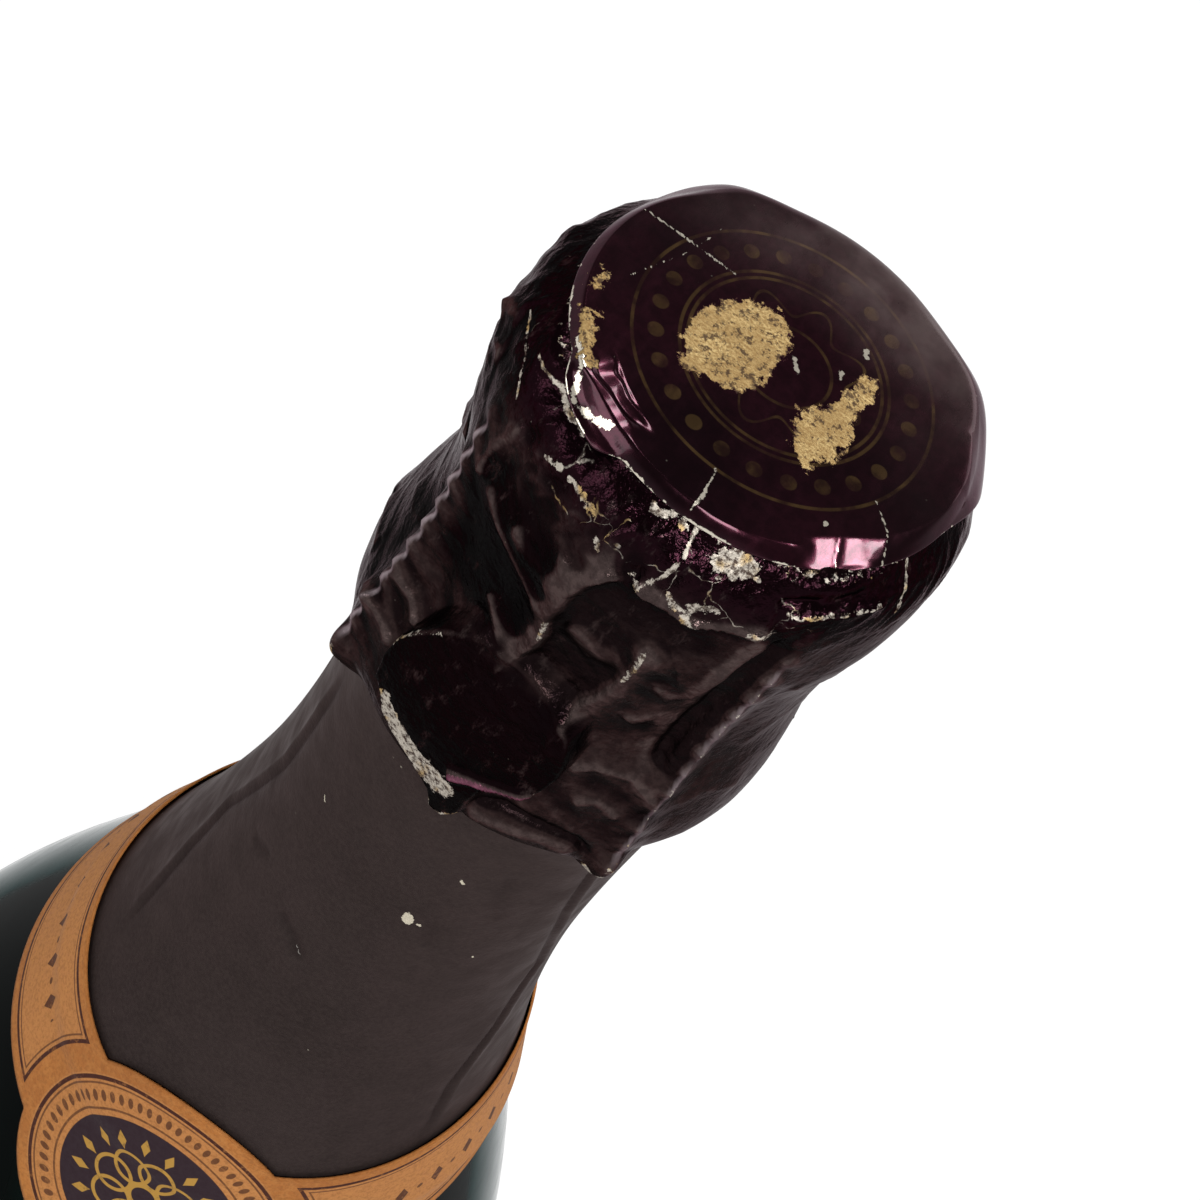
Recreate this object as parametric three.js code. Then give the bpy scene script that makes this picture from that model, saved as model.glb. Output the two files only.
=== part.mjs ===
// A 75 cl champagne bottle closed with a wired mushroom cork under a foil hood.
// Millimetres, +Z up. The origin is the centre of the ring that the bottle stands on.
// Azimuths are in degrees about +Z, from -Y (the front) towards +X.

import * as THREE from 'three';

// Glass bottle
const BOTTLE_HEIGHT = 300;
const BODY_RADIUS = 44;
const NECK_RADIUS = 13.95;
const NECK_LENGTH = 28;
const SHOULDER_LENGTH = 140;
const SHOULDER_LAG = 1.15;
const GLASS_WALL = 4.8;
const BASE_THICKNESS = 8;
const HEEL_ROUND = 9;
const BASE_RING_WIDTH = 4;
const PUNT_DEPTH = 34;
const NECK_BORE_RADIUS = 9.5;
const MOUTH_BORE_RADIUS = 9;
const MOUTH_BORE_LENGTH = 25;
const BEAD_RADIUS = 14;
const BEAD_HEIGHT = 4.4;
const RING_RADIUS = 14.6;
const RING_HEIGHT = 3.4;
const RING_DROP = 8.3;
const FINISH_ROUND = 1;

// Mushroom cork: a pressed body and two sliced discs at its foot
const CORK_HEAD_RADIUS = 14.6;
const CORK_HEAD_HEIGHT = 21.2;
const CORK_WAIST_RADIUS = 12.2;
const CORK_DEPTH = 24;
const CORK_DISC_THICKNESS = 5.5;
const CORK_CHAMFER = 1;
const CORK_CROWN_ROUND = 3.4;
const CORK_CROWN_LEVEL = 0.92;
const CORK_SHOULDER_LEVEL = 0.7;
const CORK_BELLY_LEVEL = 0.45;
const CORK_FLARE_LEVEL = 0.16;
const CORK_FLARE_SHARE = 0.75;
const CORK_FIT = 0.25;
const CORK_SEAT = 0.3;
const GLUE_LINE = 0.05;

// Wire cage: a cap plate, one frame wire with four twisted legs, one belt wire with a key loop
const PLATE_RADIUS = 13.2;
const PLATE_THICKNESS = 0.3;
const PLATE_DOME_RADIUS = 10.4;
const PLATE_DOME_RISE = 1.3;
const WIRE_RADIUS = 0.4;
const WIRE_GAP = 0.3;
const LEG_COUNT = 4;
const FIRST_LEG_AZIMUTH = -47.5;
const LEG_TWIST_RADIUS = 0.66;
const LEG_TWIST_TURNS = 6.25;
const LEG_PROUD = 0.4;
const LEG_START_OUT = 0.85;
const LEG_START_DROP = 0.3;
const LEG_CORNER_IN = 0.4;
const LEG_CORNER_DROP = 1.9;
const LEG_SHOULDER_DROP = 4.6;
const LEG_UPPER_LEVEL = 0.62;
const LEG_LOWER_LEVEL = 0.3;
const CAGE_RING_INSET = 1.1;
const CAGE_RING_BEND = 15;
const BELT_DROP = 13;
const BELT_BOW_WIDTH = 3.2;
const KEY_AZIMUTH = -1;
const KEY_LOOP_LENGTH = 10.4;
const KEY_LOOP_WIDTH = 11.4;
const KEY_LEAN = 20;
const KEY_RADIUS = 16.1;
const KEY_BULGE = 0.8;
const KEY_SHANK_RISE = 4.4;
const KEY_TWIST_TURNS = 1;
const KEY_SHANK_START = 0.7;
const KEY_OPENING = 8;

// Foils and collar label
const FOIL = 0.25;
const FOIL_GAP = 0.3;
const HOOD_FIT = 0.2;
const HOOD_CROWN_EASE = 1.5;
const HOOD_RING_EASE = 2;
const HOOD_RIM_EASE = 1.3;
const HOOD_RIM_DROP = 13.7;
const HOOD_HEADROOM = 0.45;
const HOOD_TURN_IN = 1.6;
const HOOD_SHOULDER_IN = 0.5;
const HOOD_SHOULDER_DROP = 2.9;
const HOOD_CROWN_LEVEL = 0.8;
const HOOD_BELLY_LEVEL = 0.6;
const HOOD_TAPER_LEVEL = 0.42;
const HOOD_TAPER_SHARE = 0.3;
const HOOD_WAIST_LEVEL = 0.22;
const RIDGE_WIDTH = 2.1;
const POCKET_MARGIN = 2;
const POCKET_SLOPE = 2.3;
const DISC_GAP = 0.25;
const DISC_OVERLAP = 1.4;
const NECK_FOIL_TOP_DROP = 14.8;
const NECK_FOIL_LENGTH = 71;
const LABEL = 0.25;
const LABEL_GAP = 0.3;
const LABEL_DROP = 84.7;
const LABEL_BAND_WIDTH = 16.2;
const LABEL_DIP = 5;
const LABEL_TILT = 2.5;
const LABEL_STEP = 4;
const LABEL_STEP_GAP = 1;
const MEDALLION_RADIUS = 15.5;
const MEDALLION_DROP = 92;
const MEDALLION_AZIMUTH = 1.5;
const MEDALLION_SPAN = 80;

// Facets
const GLASS_SIDES = 32;
const FOIL_SIDES = 32;
const PLATE_SIDES = 32;
const SHOULDER_STEPS = 12;
const WIRE_SIDES = 5;
const STEPS_PER_TURN = 8;
const LOOP_STEPS = 24;
const BELT_STEPS = 72;
const EYELET_STEPS = 6;
const MEDALLION_STEPS = 20;
const BAND_STEPS = 28;
const HOOD_ROWS = 15;
const NECK_FOIL_ROWS = 10;
const LABEL_ROWS = 6;
const PUNT_STEPS = 6;
const HEEL_STEPS = 4;
const INNER_HEEL_STEPS = 3;
const CORK_HEAD_STEPS = 11;
const LEG_LINE_STEPS = 120;
const RING_BEND_STEPS = 4;
const RING_ARC_SHARES = [0.3, 0.43, 0.57, 0.7];
const LEG_FACET_TURNS = [-11, -7.5, -5, -2.5, 0, 2.5, 5, 7.5, 11, 24, 34, 45, 56, 66];
const POCKET_FACET_AZIMUTHS = [-31, -28, 3, 13.5, 23, 27];

// Levels that pieces share
const neckBase = BOTTLE_HEIGHT - NECK_LENGTH;
const shoulderBase = neckBase - SHOULDER_LENGTH;
const corkSeat = BOTTLE_HEIGHT + CORK_SEAT;
const corkTop = corkSeat + CORK_HEAD_HEIGHT;
const corkFoot = BOTTLE_HEIGHT - CORK_DEPTH;
const plateBottom = corkTop + WIRE_GAP;
const plateTop = plateBottom + PLATE_THICKNESS;
const cageRingZ = plateTop + WIRE_GAP + WIRE_RADIUS;
const cageRingRadius = PLATE_RADIUS - CAGE_RING_INSET;
const ringTop = BOTTLE_HEIGHT - RING_DROP;
const ringBottom = ringTop - RING_HEIGHT;
const beadBottom = BOTTLE_HEIGHT - BEAD_HEIGHT;
const beltZ = BOTTLE_HEIGHT - BELT_DROP;
const hoodTop = cageRingZ + WIRE_RADIUS + HOOD_HEADROOM + FOIL;
const hoodRim = BOTTLE_HEIGHT - HOOD_RIM_DROP;
const neckFoilTop = BOTTLE_HEIGHT - NECK_FOIL_TOP_DROP;
const neckFoilFoot = neckFoilTop - NECK_FOIL_LENGTH;

// Radii that pieces share
const corkStemRadius = MOUTH_BORE_RADIUS - CORK_FIT;
const legReach = LEG_TWIST_RADIUS + WIRE_RADIUS;
const legCrownRadius = CORK_HEAD_RADIUS + LEG_PROUD;
const legLipRadius = BEAD_RADIUS + WIRE_GAP + legReach;
const legRingRadius = RING_RADIUS + WIRE_GAP + legReach;
const eyeletRadius = 2 * WIRE_RADIUS + WIRE_GAP;
const beltBowRadius = RING_RADIUS + WIRE_GAP + WIRE_RADIUS + eyeletRadius;
const beltTuckRadius = NECK_RADIUS + WIRE_GAP + WIRE_RADIUS;
const legAzimuths = Array.from({ length: LEG_COUNT }, (_, k) => FIRST_LEG_AZIMUTH + (k * 360) / LEG_COUNT);

const { degToRad, lerp, smoothstep } = THREE.MathUtils;

function steps(count) {
  return Array.from({ length: count + 1 }, (_, i) => i / count);
}

function polar(radius, azimuth, z) {
  const angle = degToRad(azimuth);
  return new THREE.Vector3(radius * Math.sin(angle), -radius * Math.cos(angle), z);
}

// Shortest turn from one azimuth to another, in degrees
function turnBetween(from, to) {
  return THREE.MathUtils.euclideanModulo(to - from + 180, 360) - 180;
}

function nearestLegTurn(azimuth) {
  const turns = legAzimuths.map((leg) => turnBetween(leg, azimuth));
  return turns.reduce((best, turn) => (Math.abs(turn) < Math.abs(best) ? turn : best));
}

function arcLength(turn, radius) {
  return degToRad(turn) * radius;
}

function part(name, geometry, color, roughness, metalness) {
  const mesh = new THREE.Mesh(geometry, new THREE.MeshStandardMaterial({ color, roughness, metalness }));
  mesh.name = name;
  return mesh;
}

// A turned piece: the profile runs from the axis outwards, up the outside and back to the axis
function turned(profile, sides) {
  const points = profile.map(([radius, z]) => new THREE.Vector2(radius, z));
  return new THREE.LatheGeometry(points, sides).rotateX(Math.PI / 2);
}

function signedVolume(positions, faces) {
  const corner = (i) => new THREE.Vector3().fromArray(positions, 3 * i);
  return faces.reduce((sum, [a, b, c]) => sum + corner(a).dot(corner(b).cross(corner(c))) / 6, 0);
}

// One closed surface through rings of equally many points.
// The last ring joins the first, or both get a flat cap.
function skinned(rings, capped) {
  const count = rings[0].length;
  const positions = rings.flatMap((ring) => ring.flatMap((p) => p.toArray()));
  const faces = [];
  const spans = capped ? rings.length - 1 : rings.length;
  for (let i = 0; i < spans; i += 1) {
    const here = i * count;
    const next = ((i + 1) % rings.length) * count;
    for (let j = 0; j < count; j += 1) {
      const k = (j + 1) % count;
      faces.push([here + j, next + j, next + k], [here + j, next + k, here + k]);
    }
  }
  if (capped) {
    [0, rings.length - 1].forEach((end) => {
      const hub = positions.length / 3;
      const centre = rings[end].reduce((sum, p) => sum.add(p), new THREE.Vector3()).divideScalar(count);
      positions.push(...centre.toArray());
      for (let j = 0; j < count; j += 1) {
        const rim = [end * count + j, end * count + ((j + 1) % count)];
        faces.push(end === 0 ? [hub, ...rim] : [hub, ...rim.reverse()]);
      }
    });
  }
  const outward = signedVolume(positions, faces) > 0 ? faces : faces.map(([a, b, c]) => [a, c, b]);
  const geometry = new THREE.BufferGeometry();
  geometry.setAttribute('position', new THREE.Float32BufferAttribute(positions, 3));
  geometry.setIndex(outward.flat());
  return geometry;
}

// A wire along a closed path, its sections carried along without spin and the last turn shared out evenly
function closedWire(path) {
  const count = path.length;
  const tangents = path.map((_, i) =>
    path[(i + 1) % count].clone().sub(path[(i + count - 1) % count]).normalize());
  const normals = [new THREE.Vector3(0, 0, 1).cross(tangents[0]).normalize()];
  for (let i = 1; i <= count; i += 1) {
    const along = tangents[i % count];
    const before = normals[i - 1];
    normals.push(before.clone().addScaledVector(along, -before.dot(along)).normalize());
  }
  const side = tangents[0].clone().cross(normals[count]);
  const spin = Math.atan2(normals[0].dot(side), normals[0].dot(normals[count]));
  const rings = path.map((centre, i) => {
    const start = normals[i].clone().applyAxisAngle(tangents[i], (spin * i) / count);
    return Array.from({ length: WIRE_SIDES }, (_, j) =>
      start.clone().applyAxisAngle(tangents[i], (2 * Math.PI * j) / WIRE_SIDES)
        .multiplyScalar(WIRE_RADIUS).add(centre));
  });
  return skinned(rings, false);
}

// Least distance between stretches of a closed path that lie apart along it, less the wire's thickness
function leastGap(path) {
  const count = path.length;
  const sameStretch = 8 * WIRE_RADIUS;
  const lengths = [0];
  path.forEach((p, i) => lengths.push(lengths[i] + p.distanceTo(path[(i + 1) % count])));
  const total = lengths[count];
  let least = Infinity;
  for (let i = 0; i < count; i += 1) {
    for (let j = i + 1; j < count; j += 1) {
      const between = lengths[j] - lengths[i];
      if (Math.min(between, total - between) > sameStretch) {
        least = Math.min(least, path[i].distanceTo(path[j]));
      }
    }
  }
  return least - 2 * WIRE_RADIUS;
}

// Outside of the glass: straight body, an S-shaped shoulder and a straight neck
function glassRadius(z) {
  const down = Math.min(1, Math.max(0, (neckBase - z) / SHOULDER_LENGTH));
  return NECK_RADIUS + (BODY_RADIUS - NECK_RADIUS) * smoothstep(down ** SHOULDER_LAG, 0, 1);
}

function glassBore(z) {
  return Math.max(NECK_BORE_RADIUS, glassRadius(z) - GLASS_WALL);
}

function quarterRound(fromRadius, fromZ, toRadius, toZ, count) {
  return steps(count).map((u) => {
    const angle = (u * Math.PI) / 2;
    return [
      fromRadius + (toRadius - fromRadius) * Math.sin(angle),
      fromZ + (toZ - fromZ) * (1 - Math.cos(angle)),
    ];
  });
}

function bottleGlass() {
  const standRadius = BODY_RADIUS - HEEL_ROUND;
  const puntRadius = standRadius - BASE_RING_WIDTH;
  const innerBody = BODY_RADIUS - GLASS_WALL;
  const puntZ = (radius) => PUNT_DEPTH * Math.cos((Math.PI / 2) * Math.min(1, radius / puntRadius));
  const puntSteps = steps(PUNT_STEPS);
  const shoulder = steps(SHOULDER_STEPS).map((u) => lerp(shoulderBase, neckBase, u));
  const boreTop = BOTTLE_HEIGHT - MOUTH_BORE_LENGTH;
  const heelTop = BASE_THICKNESS + HEEL_ROUND;
  const innerHeel = quarterRound(puntRadius, BASE_THICKNESS, innerBody, heelTop, INNER_HEEL_STEPS);
  const profile = [
    ...puntSteps.map((u) => [u * puntRadius, puntZ(u * puntRadius)]),
    ...quarterRound(standRadius, 0, BODY_RADIUS, HEEL_ROUND, HEEL_STEPS),
    ...shoulder.map((z) => [glassRadius(z), z]),
    [NECK_RADIUS, ringBottom - FINISH_ROUND],
    [RING_RADIUS, ringBottom],
    [RING_RADIUS, ringTop - FINISH_ROUND],
    [BEAD_RADIUS - FINISH_ROUND, ringTop],
    [BEAD_RADIUS - FINISH_ROUND, beadBottom],
    [BEAD_RADIUS, beadBottom + FINISH_ROUND],
    [BEAD_RADIUS, BOTTLE_HEIGHT - FINISH_ROUND],
    [BEAD_RADIUS - FINISH_ROUND, BOTTLE_HEIGHT],
    [MOUTH_BORE_RADIUS + FINISH_ROUND, BOTTLE_HEIGHT],
    [MOUTH_BORE_RADIUS, BOTTLE_HEIGHT - FINISH_ROUND],
    [MOUTH_BORE_RADIUS, boreTop],
    [NECK_BORE_RADIUS, boreTop - FINISH_ROUND],
    ...shoulder.slice(0, -1).reverse().map((z) => [glassBore(z), z]),
    ...innerHeel.reverse(),
    ...puntSteps.slice(0, -1).reverse().map((u) => [u * puntRadius, puntZ(u * puntRadius) + BASE_THICKNESS]),
  ];
  return turned(profile, GLASS_SIDES);
}

// Middle line of a twisted leg in the plane of the axis, from the plate's edge down to its eyelet
const legLine = new THREE.CatmullRomCurve3([
  new THREE.Vector3(PLATE_RADIUS + LEG_START_OUT, 0, cageRingZ - LEG_START_DROP),
  new THREE.Vector3(legCrownRadius - LEG_CORNER_IN, 0, cageRingZ - LEG_CORNER_DROP),
  new THREE.Vector3(legCrownRadius, 0, cageRingZ - LEG_SHOULDER_DROP),
  new THREE.Vector3(legCrownRadius, 0, lerp(corkSeat, corkTop, LEG_UPPER_LEVEL)),
  new THREE.Vector3(legCrownRadius, 0, lerp(corkSeat, corkTop, LEG_LOWER_LEVEL)),
  new THREE.Vector3(legLipRadius, 0, BOTTLE_HEIGHT),
  new THREE.Vector3(legLipRadius, 0, beadBottom + FINISH_ROUND),
  new THREE.Vector3(legRingRadius, 0, ringTop + FINISH_ROUND),
  new THREE.Vector3(legRingRadius, 0, beltZ + eyeletRadius + 2 * WIRE_RADIUS + WIRE_GAP),
]);
const legLinePoints = legLine.getSpacedPoints(LEG_LINE_STEPS);

// Radius at a level of the round space that a leg needs, on its outer or inner side
function legSide(z, reach, sign) {
  const near = legLinePoints.filter((p) => Math.abs(p.z - z) < reach);
  const sides = near.map((p) => sign * p.x + Math.sqrt(reach ** 2 - (p.z - z) ** 2));
  return sides.length > 0 ? sign * Math.max(...sides) : null;
}

// The two strands of one leg, joined round the belt by an eyelet
function legStrands(azimuth) {
  const across = polar(1, azimuth + 90, 0);
  const outward = polar(1, azimuth, 0);
  const place = ({ x, z }) => outward.clone().multiplyScalar(x).setZ(z);
  const strand = (sign) => steps(LEG_TWIST_TURNS * STEPS_PER_TURN).map((u) => {
    const turn = 2 * Math.PI * LEG_TWIST_TURNS * u;
    const line = legLine.getTangentAt(u);
    const lift = outward.clone().multiplyScalar(-line.z).setZ(line.x);
    const offset = across.clone().multiplyScalar(Math.cos(turn)).addScaledVector(lift, Math.sin(turn));
    return place(legLine.getPointAt(u)).addScaledVector(offset, sign * LEG_TWIST_RADIUS);
  });
  const eyelet = steps(EYELET_STEPS).map((u) => {
    const angle = Math.PI * (1 + u);
    const x = beltBowRadius + eyeletRadius * Math.cos(angle);
    return place({ x, z: beltZ + eyeletRadius * Math.sin(angle) });
  });
  return { down: strand(-1), eyelet, up: strand(1).reverse() };
}

// Bend between the cage's top ring and a strand, on the side given by the sign
function ringBend(azimuth, sign, strandEnd) {
  const corner = polar(cageRingRadius, azimuth, cageRingZ)
    .addScaledVector(polar(1, azimuth + 90, 0), sign * LEG_TWIST_RADIUS);
  const start = polar(cageRingRadius, azimuth + sign * CAGE_RING_BEND, cageRingZ);
  return new THREE.QuadraticBezierCurve3(start, corner, strandEnd).getPoints(RING_BEND_STEPS).slice(0, -1);
}

function cageFramePath() {
  const legSpan = 360 / LEG_COUNT;
  return legAzimuths.flatMap((azimuth) => {
    const { down, eyelet, up } = legStrands(azimuth);
    const arc = RING_ARC_SHARES.map((u) => polar(cageRingRadius, azimuth + u * legSpan, cageRingZ));
    return [
      ...ringBend(azimuth, -1, down[0]),
      ...down,
      ...eyelet,
      ...up,
      ...ringBend(azimuth, 1, up.at(-1)).reverse(),
      ...arc,
    ];
  });
}

// The belt lies under the glass ring and bows out through each eyelet
function beltRadius(azimuth) {
  const away = arcLength(nearestLegTurn(azimuth), beltBowRadius);
  return lerp(beltTuckRadius, beltBowRadius, Math.exp(-((away / BELT_BOW_WIDTH) ** 2)));
}

const keyBottom = beltZ + KEY_SHANK_RISE;

function keyRadiusAt(z) {
  const share = THREE.MathUtils.clamp((z - keyBottom) / KEY_LOOP_LENGTH, 0, 1);
  return KEY_RADIUS + KEY_BULGE * Math.sin(Math.PI * share);
}

// A point of the key's face: along its leaning axis and across it, in millimetres from the top of the shank
function keyPoint(along, across) {
  const lean = degToRad(KEY_LEAN);
  const sideways = across * Math.cos(lean) - along * Math.sin(lean);
  const z = keyBottom + along * Math.cos(lean) + across * Math.sin(lean);
  return polar(keyRadiusAt(z), KEY_AZIMUTH + THREE.MathUtils.radToDeg(sideways / KEY_RADIUS), z);
}

function keyLoop() {
  const open = Math.asin((2 * LEG_TWIST_RADIUS) / KEY_LOOP_WIDTH);
  return steps(LOOP_STEPS).map((u) => {
    const turn = lerp(2 * Math.PI - open, open, u);
    return keyPoint(0.5 * KEY_LOOP_LENGTH * (1 - Math.cos(turn)), 0.5 * KEY_LOOP_WIDTH * Math.sin(turn));
  });
}

// Twisted shank from the belt out and up to the key loop
function keyShank(sign) {
  const across = polar(1, KEY_AZIMUTH + 90, 0);
  const outward = polar(1, KEY_AZIMUTH, 0);
  const line = new THREE.QuadraticBezierCurve(
    new THREE.Vector2(beltTuckRadius + KEY_SHANK_START, beltZ),
    new THREE.Vector2(KEY_RADIUS, beltZ),
    new THREE.Vector2(KEY_RADIUS, keyBottom),
  );
  return steps(KEY_TWIST_TURNS * STEPS_PER_TURN).map((u) => {
    const turn = 2 * Math.PI * KEY_TWIST_TURNS * u;
    const middle = line.getPointAt(u);
    const way = line.getTangentAt(u);
    const lift = outward.clone().multiplyScalar(-way.y).setZ(way.x);
    return outward.clone().multiplyScalar(middle.x).setZ(middle.y)
      .addScaledVector(across, sign * LEG_TWIST_RADIUS * Math.cos(turn))
      .addScaledVector(lift, sign * LEG_TWIST_RADIUS * Math.sin(turn));
  });
}

function beltPath() {
  const round = steps(BELT_STEPS).map((u) => {
    const azimuth = KEY_AZIMUTH + lerp(KEY_OPENING, 360 - KEY_OPENING, u);
    return polar(beltRadius(azimuth), azimuth, beltZ);
  });
  return [...keyShank(-1), ...keyLoop(), ...keyShank(1).reverse(), ...round];
}

// Azimuths for a foil or cork: close together at the legs and wider between them
function foilAzimuths(extra) {
  return legAzimuths.flatMap((leg) => LEG_FACET_TURNS.map((turn) => leg + turn)).concat(extra)
    .map((azimuth) => THREE.MathUtils.euclideanModulo(azimuth, 360))
    .sort((a, b) => a - b);
}

// Outline of the cork's body between the legs, from its glued foot to its crown
function corkOutline() {
  const bodyFoot = corkFoot + 2 * (CORK_DISC_THICKNESS + GLUE_LINE);
  const flareRadius = lerp(CORK_WAIST_RADIUS, CORK_HEAD_RADIUS, CORK_FLARE_SHARE);
  const head = new THREE.SplineCurve([
    new THREE.Vector2(CORK_WAIST_RADIUS, corkSeat),
    new THREE.Vector2(flareRadius, lerp(corkSeat, corkTop, CORK_FLARE_LEVEL)),
    new THREE.Vector2(CORK_HEAD_RADIUS, lerp(corkSeat, corkTop, CORK_BELLY_LEVEL)),
    new THREE.Vector2(CORK_HEAD_RADIUS, lerp(corkSeat, corkTop, CORK_SHOULDER_LEVEL)),
    new THREE.Vector2(CORK_HEAD_RADIUS - CORK_CROWN_ROUND / 2, lerp(corkSeat, corkTop, CORK_CROWN_LEVEL)),
    new THREE.Vector2(CORK_HEAD_RADIUS - CORK_CROWN_ROUND, corkTop),
  ]);
  return [
    new THREE.Vector2(corkStemRadius, bodyFoot),
    new THREE.Vector2(corkStemRadius, corkSeat - CORK_SEAT / 2),
    ...head.getPoints(CORK_HEAD_STEPS),
  ];
}

// The legs bite into the cork: a round groove about each one, as deep as its clearance asks
function corkRadius(radius, z, azimuth) {
  const reach = legReach + WIRE_GAP;
  const away = Math.abs(arcLength(nearestLegTurn(azimuth), CORK_HEAD_RADIUS));
  const bottom = legSide(z, reach, -1);
  if (bottom === null || away >= reach) return radius;
  return Math.min(radius, bottom + reach - Math.sqrt(reach ** 2 - away ** 2));
}

function corkBody() {
  const rings = corkOutline().map(({ x, y }) =>
    foilAzimuths([]).map((azimuth) => polar(y < corkSeat ? x : corkRadius(x, y, azimuth), azimuth, y)));
  return skinned(rings, true);
}

function corkDisc(foot, chamfer) {
  const top = foot + CORK_DISC_THICKNESS;
  const profile = [
    [0, foot],
    [corkStemRadius - chamfer, foot],
    [corkStemRadius, foot + Math.max(chamfer, CORK_CHAMFER / 2)],
    [corkStemRadius, top],
    [0, top],
  ];
  return turned(profile, PLATE_SIDES);
}

// Pressed cap plate: a raised centre and a flange that the cage's top ring holds down
function cagePlate() {
  const domeTop = plateTop + PLATE_DOME_RISE;
  const slope = PLATE_DOME_RISE / 2;
  const upper = [
    [PLATE_RADIUS, plateTop],
    [PLATE_DOME_RADIUS + slope, plateTop],
    [PLATE_DOME_RADIUS, plateTop + slope],
    [PLATE_DOME_RADIUS - slope, domeTop],
    [0, domeTop],
  ];
  const lower = upper.map(([radius, z]) => [radius, z - PLATE_THICKNESS]).reverse();
  return turned([...lower, ...upper], PLATE_SIDES);
}

// Foil hood: its outline between the legs, from the turned-in top edge to the rim
const hoodCrownRadius = CORK_HEAD_RADIUS + HOOD_CROWN_EASE;
const hoodWaistRadius = CORK_HEAD_RADIUS + HOOD_FIT + FOIL;
const hoodTaperRadius = lerp(hoodWaistRadius, hoodCrownRadius, HOOD_TAPER_SHARE);
const hoodEdgeRadius = PLATE_RADIUS + 2 * FOIL_GAP;
const hoodOutline = new THREE.SplineCurve([
  new THREE.Vector2(hoodEdgeRadius, hoodTop),
  new THREE.Vector2(hoodCrownRadius - HOOD_SHOULDER_IN, hoodTop - HOOD_SHOULDER_DROP),
  new THREE.Vector2(hoodCrownRadius, lerp(corkSeat, corkTop, HOOD_CROWN_LEVEL)),
  new THREE.Vector2(hoodCrownRadius, lerp(corkSeat, corkTop, HOOD_BELLY_LEVEL)),
  new THREE.Vector2(hoodTaperRadius, lerp(corkSeat, corkTop, HOOD_TAPER_LEVEL)),
  new THREE.Vector2(hoodWaistRadius, lerp(corkSeat, corkTop, HOOD_WAIST_LEVEL)),
  new THREE.Vector2(hoodWaistRadius, BOTTLE_HEIGHT + FINISH_ROUND),
  new THREE.Vector2(RING_RADIUS + HOOD_RIM_EASE, beadBottom + FINISH_ROUND),
  new THREE.Vector2(RING_RADIUS + HOOD_RING_EASE, ringTop),
  new THREE.Vector2(RING_RADIUS + HOOD_RING_EASE, ringBottom),
  new THREE.Vector2(RING_RADIUS + HOOD_RIM_EASE, hoodRim),
]);

// How far a point of the hood lies inside the key's pocket: 1 over the key and at the rim below it, 0 outside
function pocketShare(azimuth, z) {
  const away = arcLength(turnBetween(KEY_AZIMUTH, azimuth), KEY_RADIUS);
  const lean = degToRad(KEY_LEAN);
  const up = Math.max(z - keyBottom, KEY_LOOP_LENGTH / 2);
  const along = up * Math.cos(lean) - away * Math.sin(lean) - KEY_LOOP_LENGTH / 2;
  const across = away * Math.cos(lean) + up * Math.sin(lean);
  const inside = z < keyBottom + KEY_LOOP_LENGTH / 2
    ? Math.abs(across) / (KEY_LOOP_WIDTH / 2)
    : Math.hypot(along / (KEY_LOOP_LENGTH / 2), across / (KEY_LOOP_WIDTH / 2));
  const edge = 1 + (2 * POCKET_MARGIN) / KEY_LOOP_WIDTH;
  const slope = (2 * POCKET_SLOPE) / KEY_LOOP_WIDTH;
  return 1 - smoothstep(inside, edge - slope / 3, edge + (2 * slope) / 3);
}

// The hood is drawn over the legs, the eyelets at their feet and the key
function hoodRadius(radius, z, azimuth) {
  const foot = smoothstep(ringTop - z, 0, RING_HEIGHT);
  const legTop = legSide(z, legReach + FOIL_GAP + FOIL, 1) ?? radius;
  const footTop = beltBowRadius + eyeletRadius + WIRE_RADIUS + FOIL_GAP + FOIL;
  const ridge = Math.max(legTop, lerp(radius, footTop, foot));
  const away = arcLength(nearestLegTurn(azimuth), ridge) / RIDGE_WIDTH;
  const overLegs = radius + Math.max(0, ridge - radius) * Math.exp(-(away ** 2));
  const keyReach = lerp(legReach, WIRE_RADIUS, smoothstep(z, keyBottom, keyBottom + legReach));
  const pocket = keyRadiusAt(z) + keyReach + FOIL_GAP + FOIL;
  return overLegs + Math.max(0, pocket - overLegs) * pocketShare(azimuth, z);
}

function capsuleHood() {
  const wall = hoodOutline.getPoints(HOOD_ROWS);
  const turnIn = new THREE.Vector2(hoodEdgeRadius - HOOD_TURN_IN, hoodTop);
  const footDip = eyeletRadius + WIRE_RADIUS + FOIL_GAP - (beltZ - hoodRim);
  const rings = foilAzimuths(POCKET_FACET_AZIMUTHS).map((azimuth) => {
    const away = arcLength(nearestLegTurn(azimuth), beltBowRadius) / RIDGE_WIDTH;
    const dip = footDip * Math.exp(-(away ** 2));
    const outer = wall.map(({ x, y }) => {
      const z = y - dip * (1 - smoothstep(y, hoodRim, ringTop));
      return polar(hoodRadius(x, y, azimuth), azimuth, z);
    });
    const inner = wall.map(({ x, y }, i) => {
      const z = i === 0 ? y - FOIL : y - dip * (1 - smoothstep(y, hoodRim, ringTop));
      return polar(hoodRadius(x, y, azimuth) - FOIL, azimuth, z);
    });
    const lip = [polar(turnIn.x, azimuth, turnIn.y - FOIL), polar(turnIn.x, azimuth, turnIn.y)];
    return [...outer, ...inner.reverse(), ...lip];
  });
  return skinned(rings, false);
}

function capsuleTopDisc() {
  const radius = hoodEdgeRadius - HOOD_TURN_IN + DISC_OVERLAP;
  const bottom = hoodTop + DISC_GAP;
  const profile = [
    [0, bottom],
    [radius - FOIL, bottom],
    [radius, bottom + FOIL / 2],
    [radius - FOIL, bottom + FOIL],
    [0, bottom + FOIL],
  ];
  return turned(profile, PLATE_SIDES);
}

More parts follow.
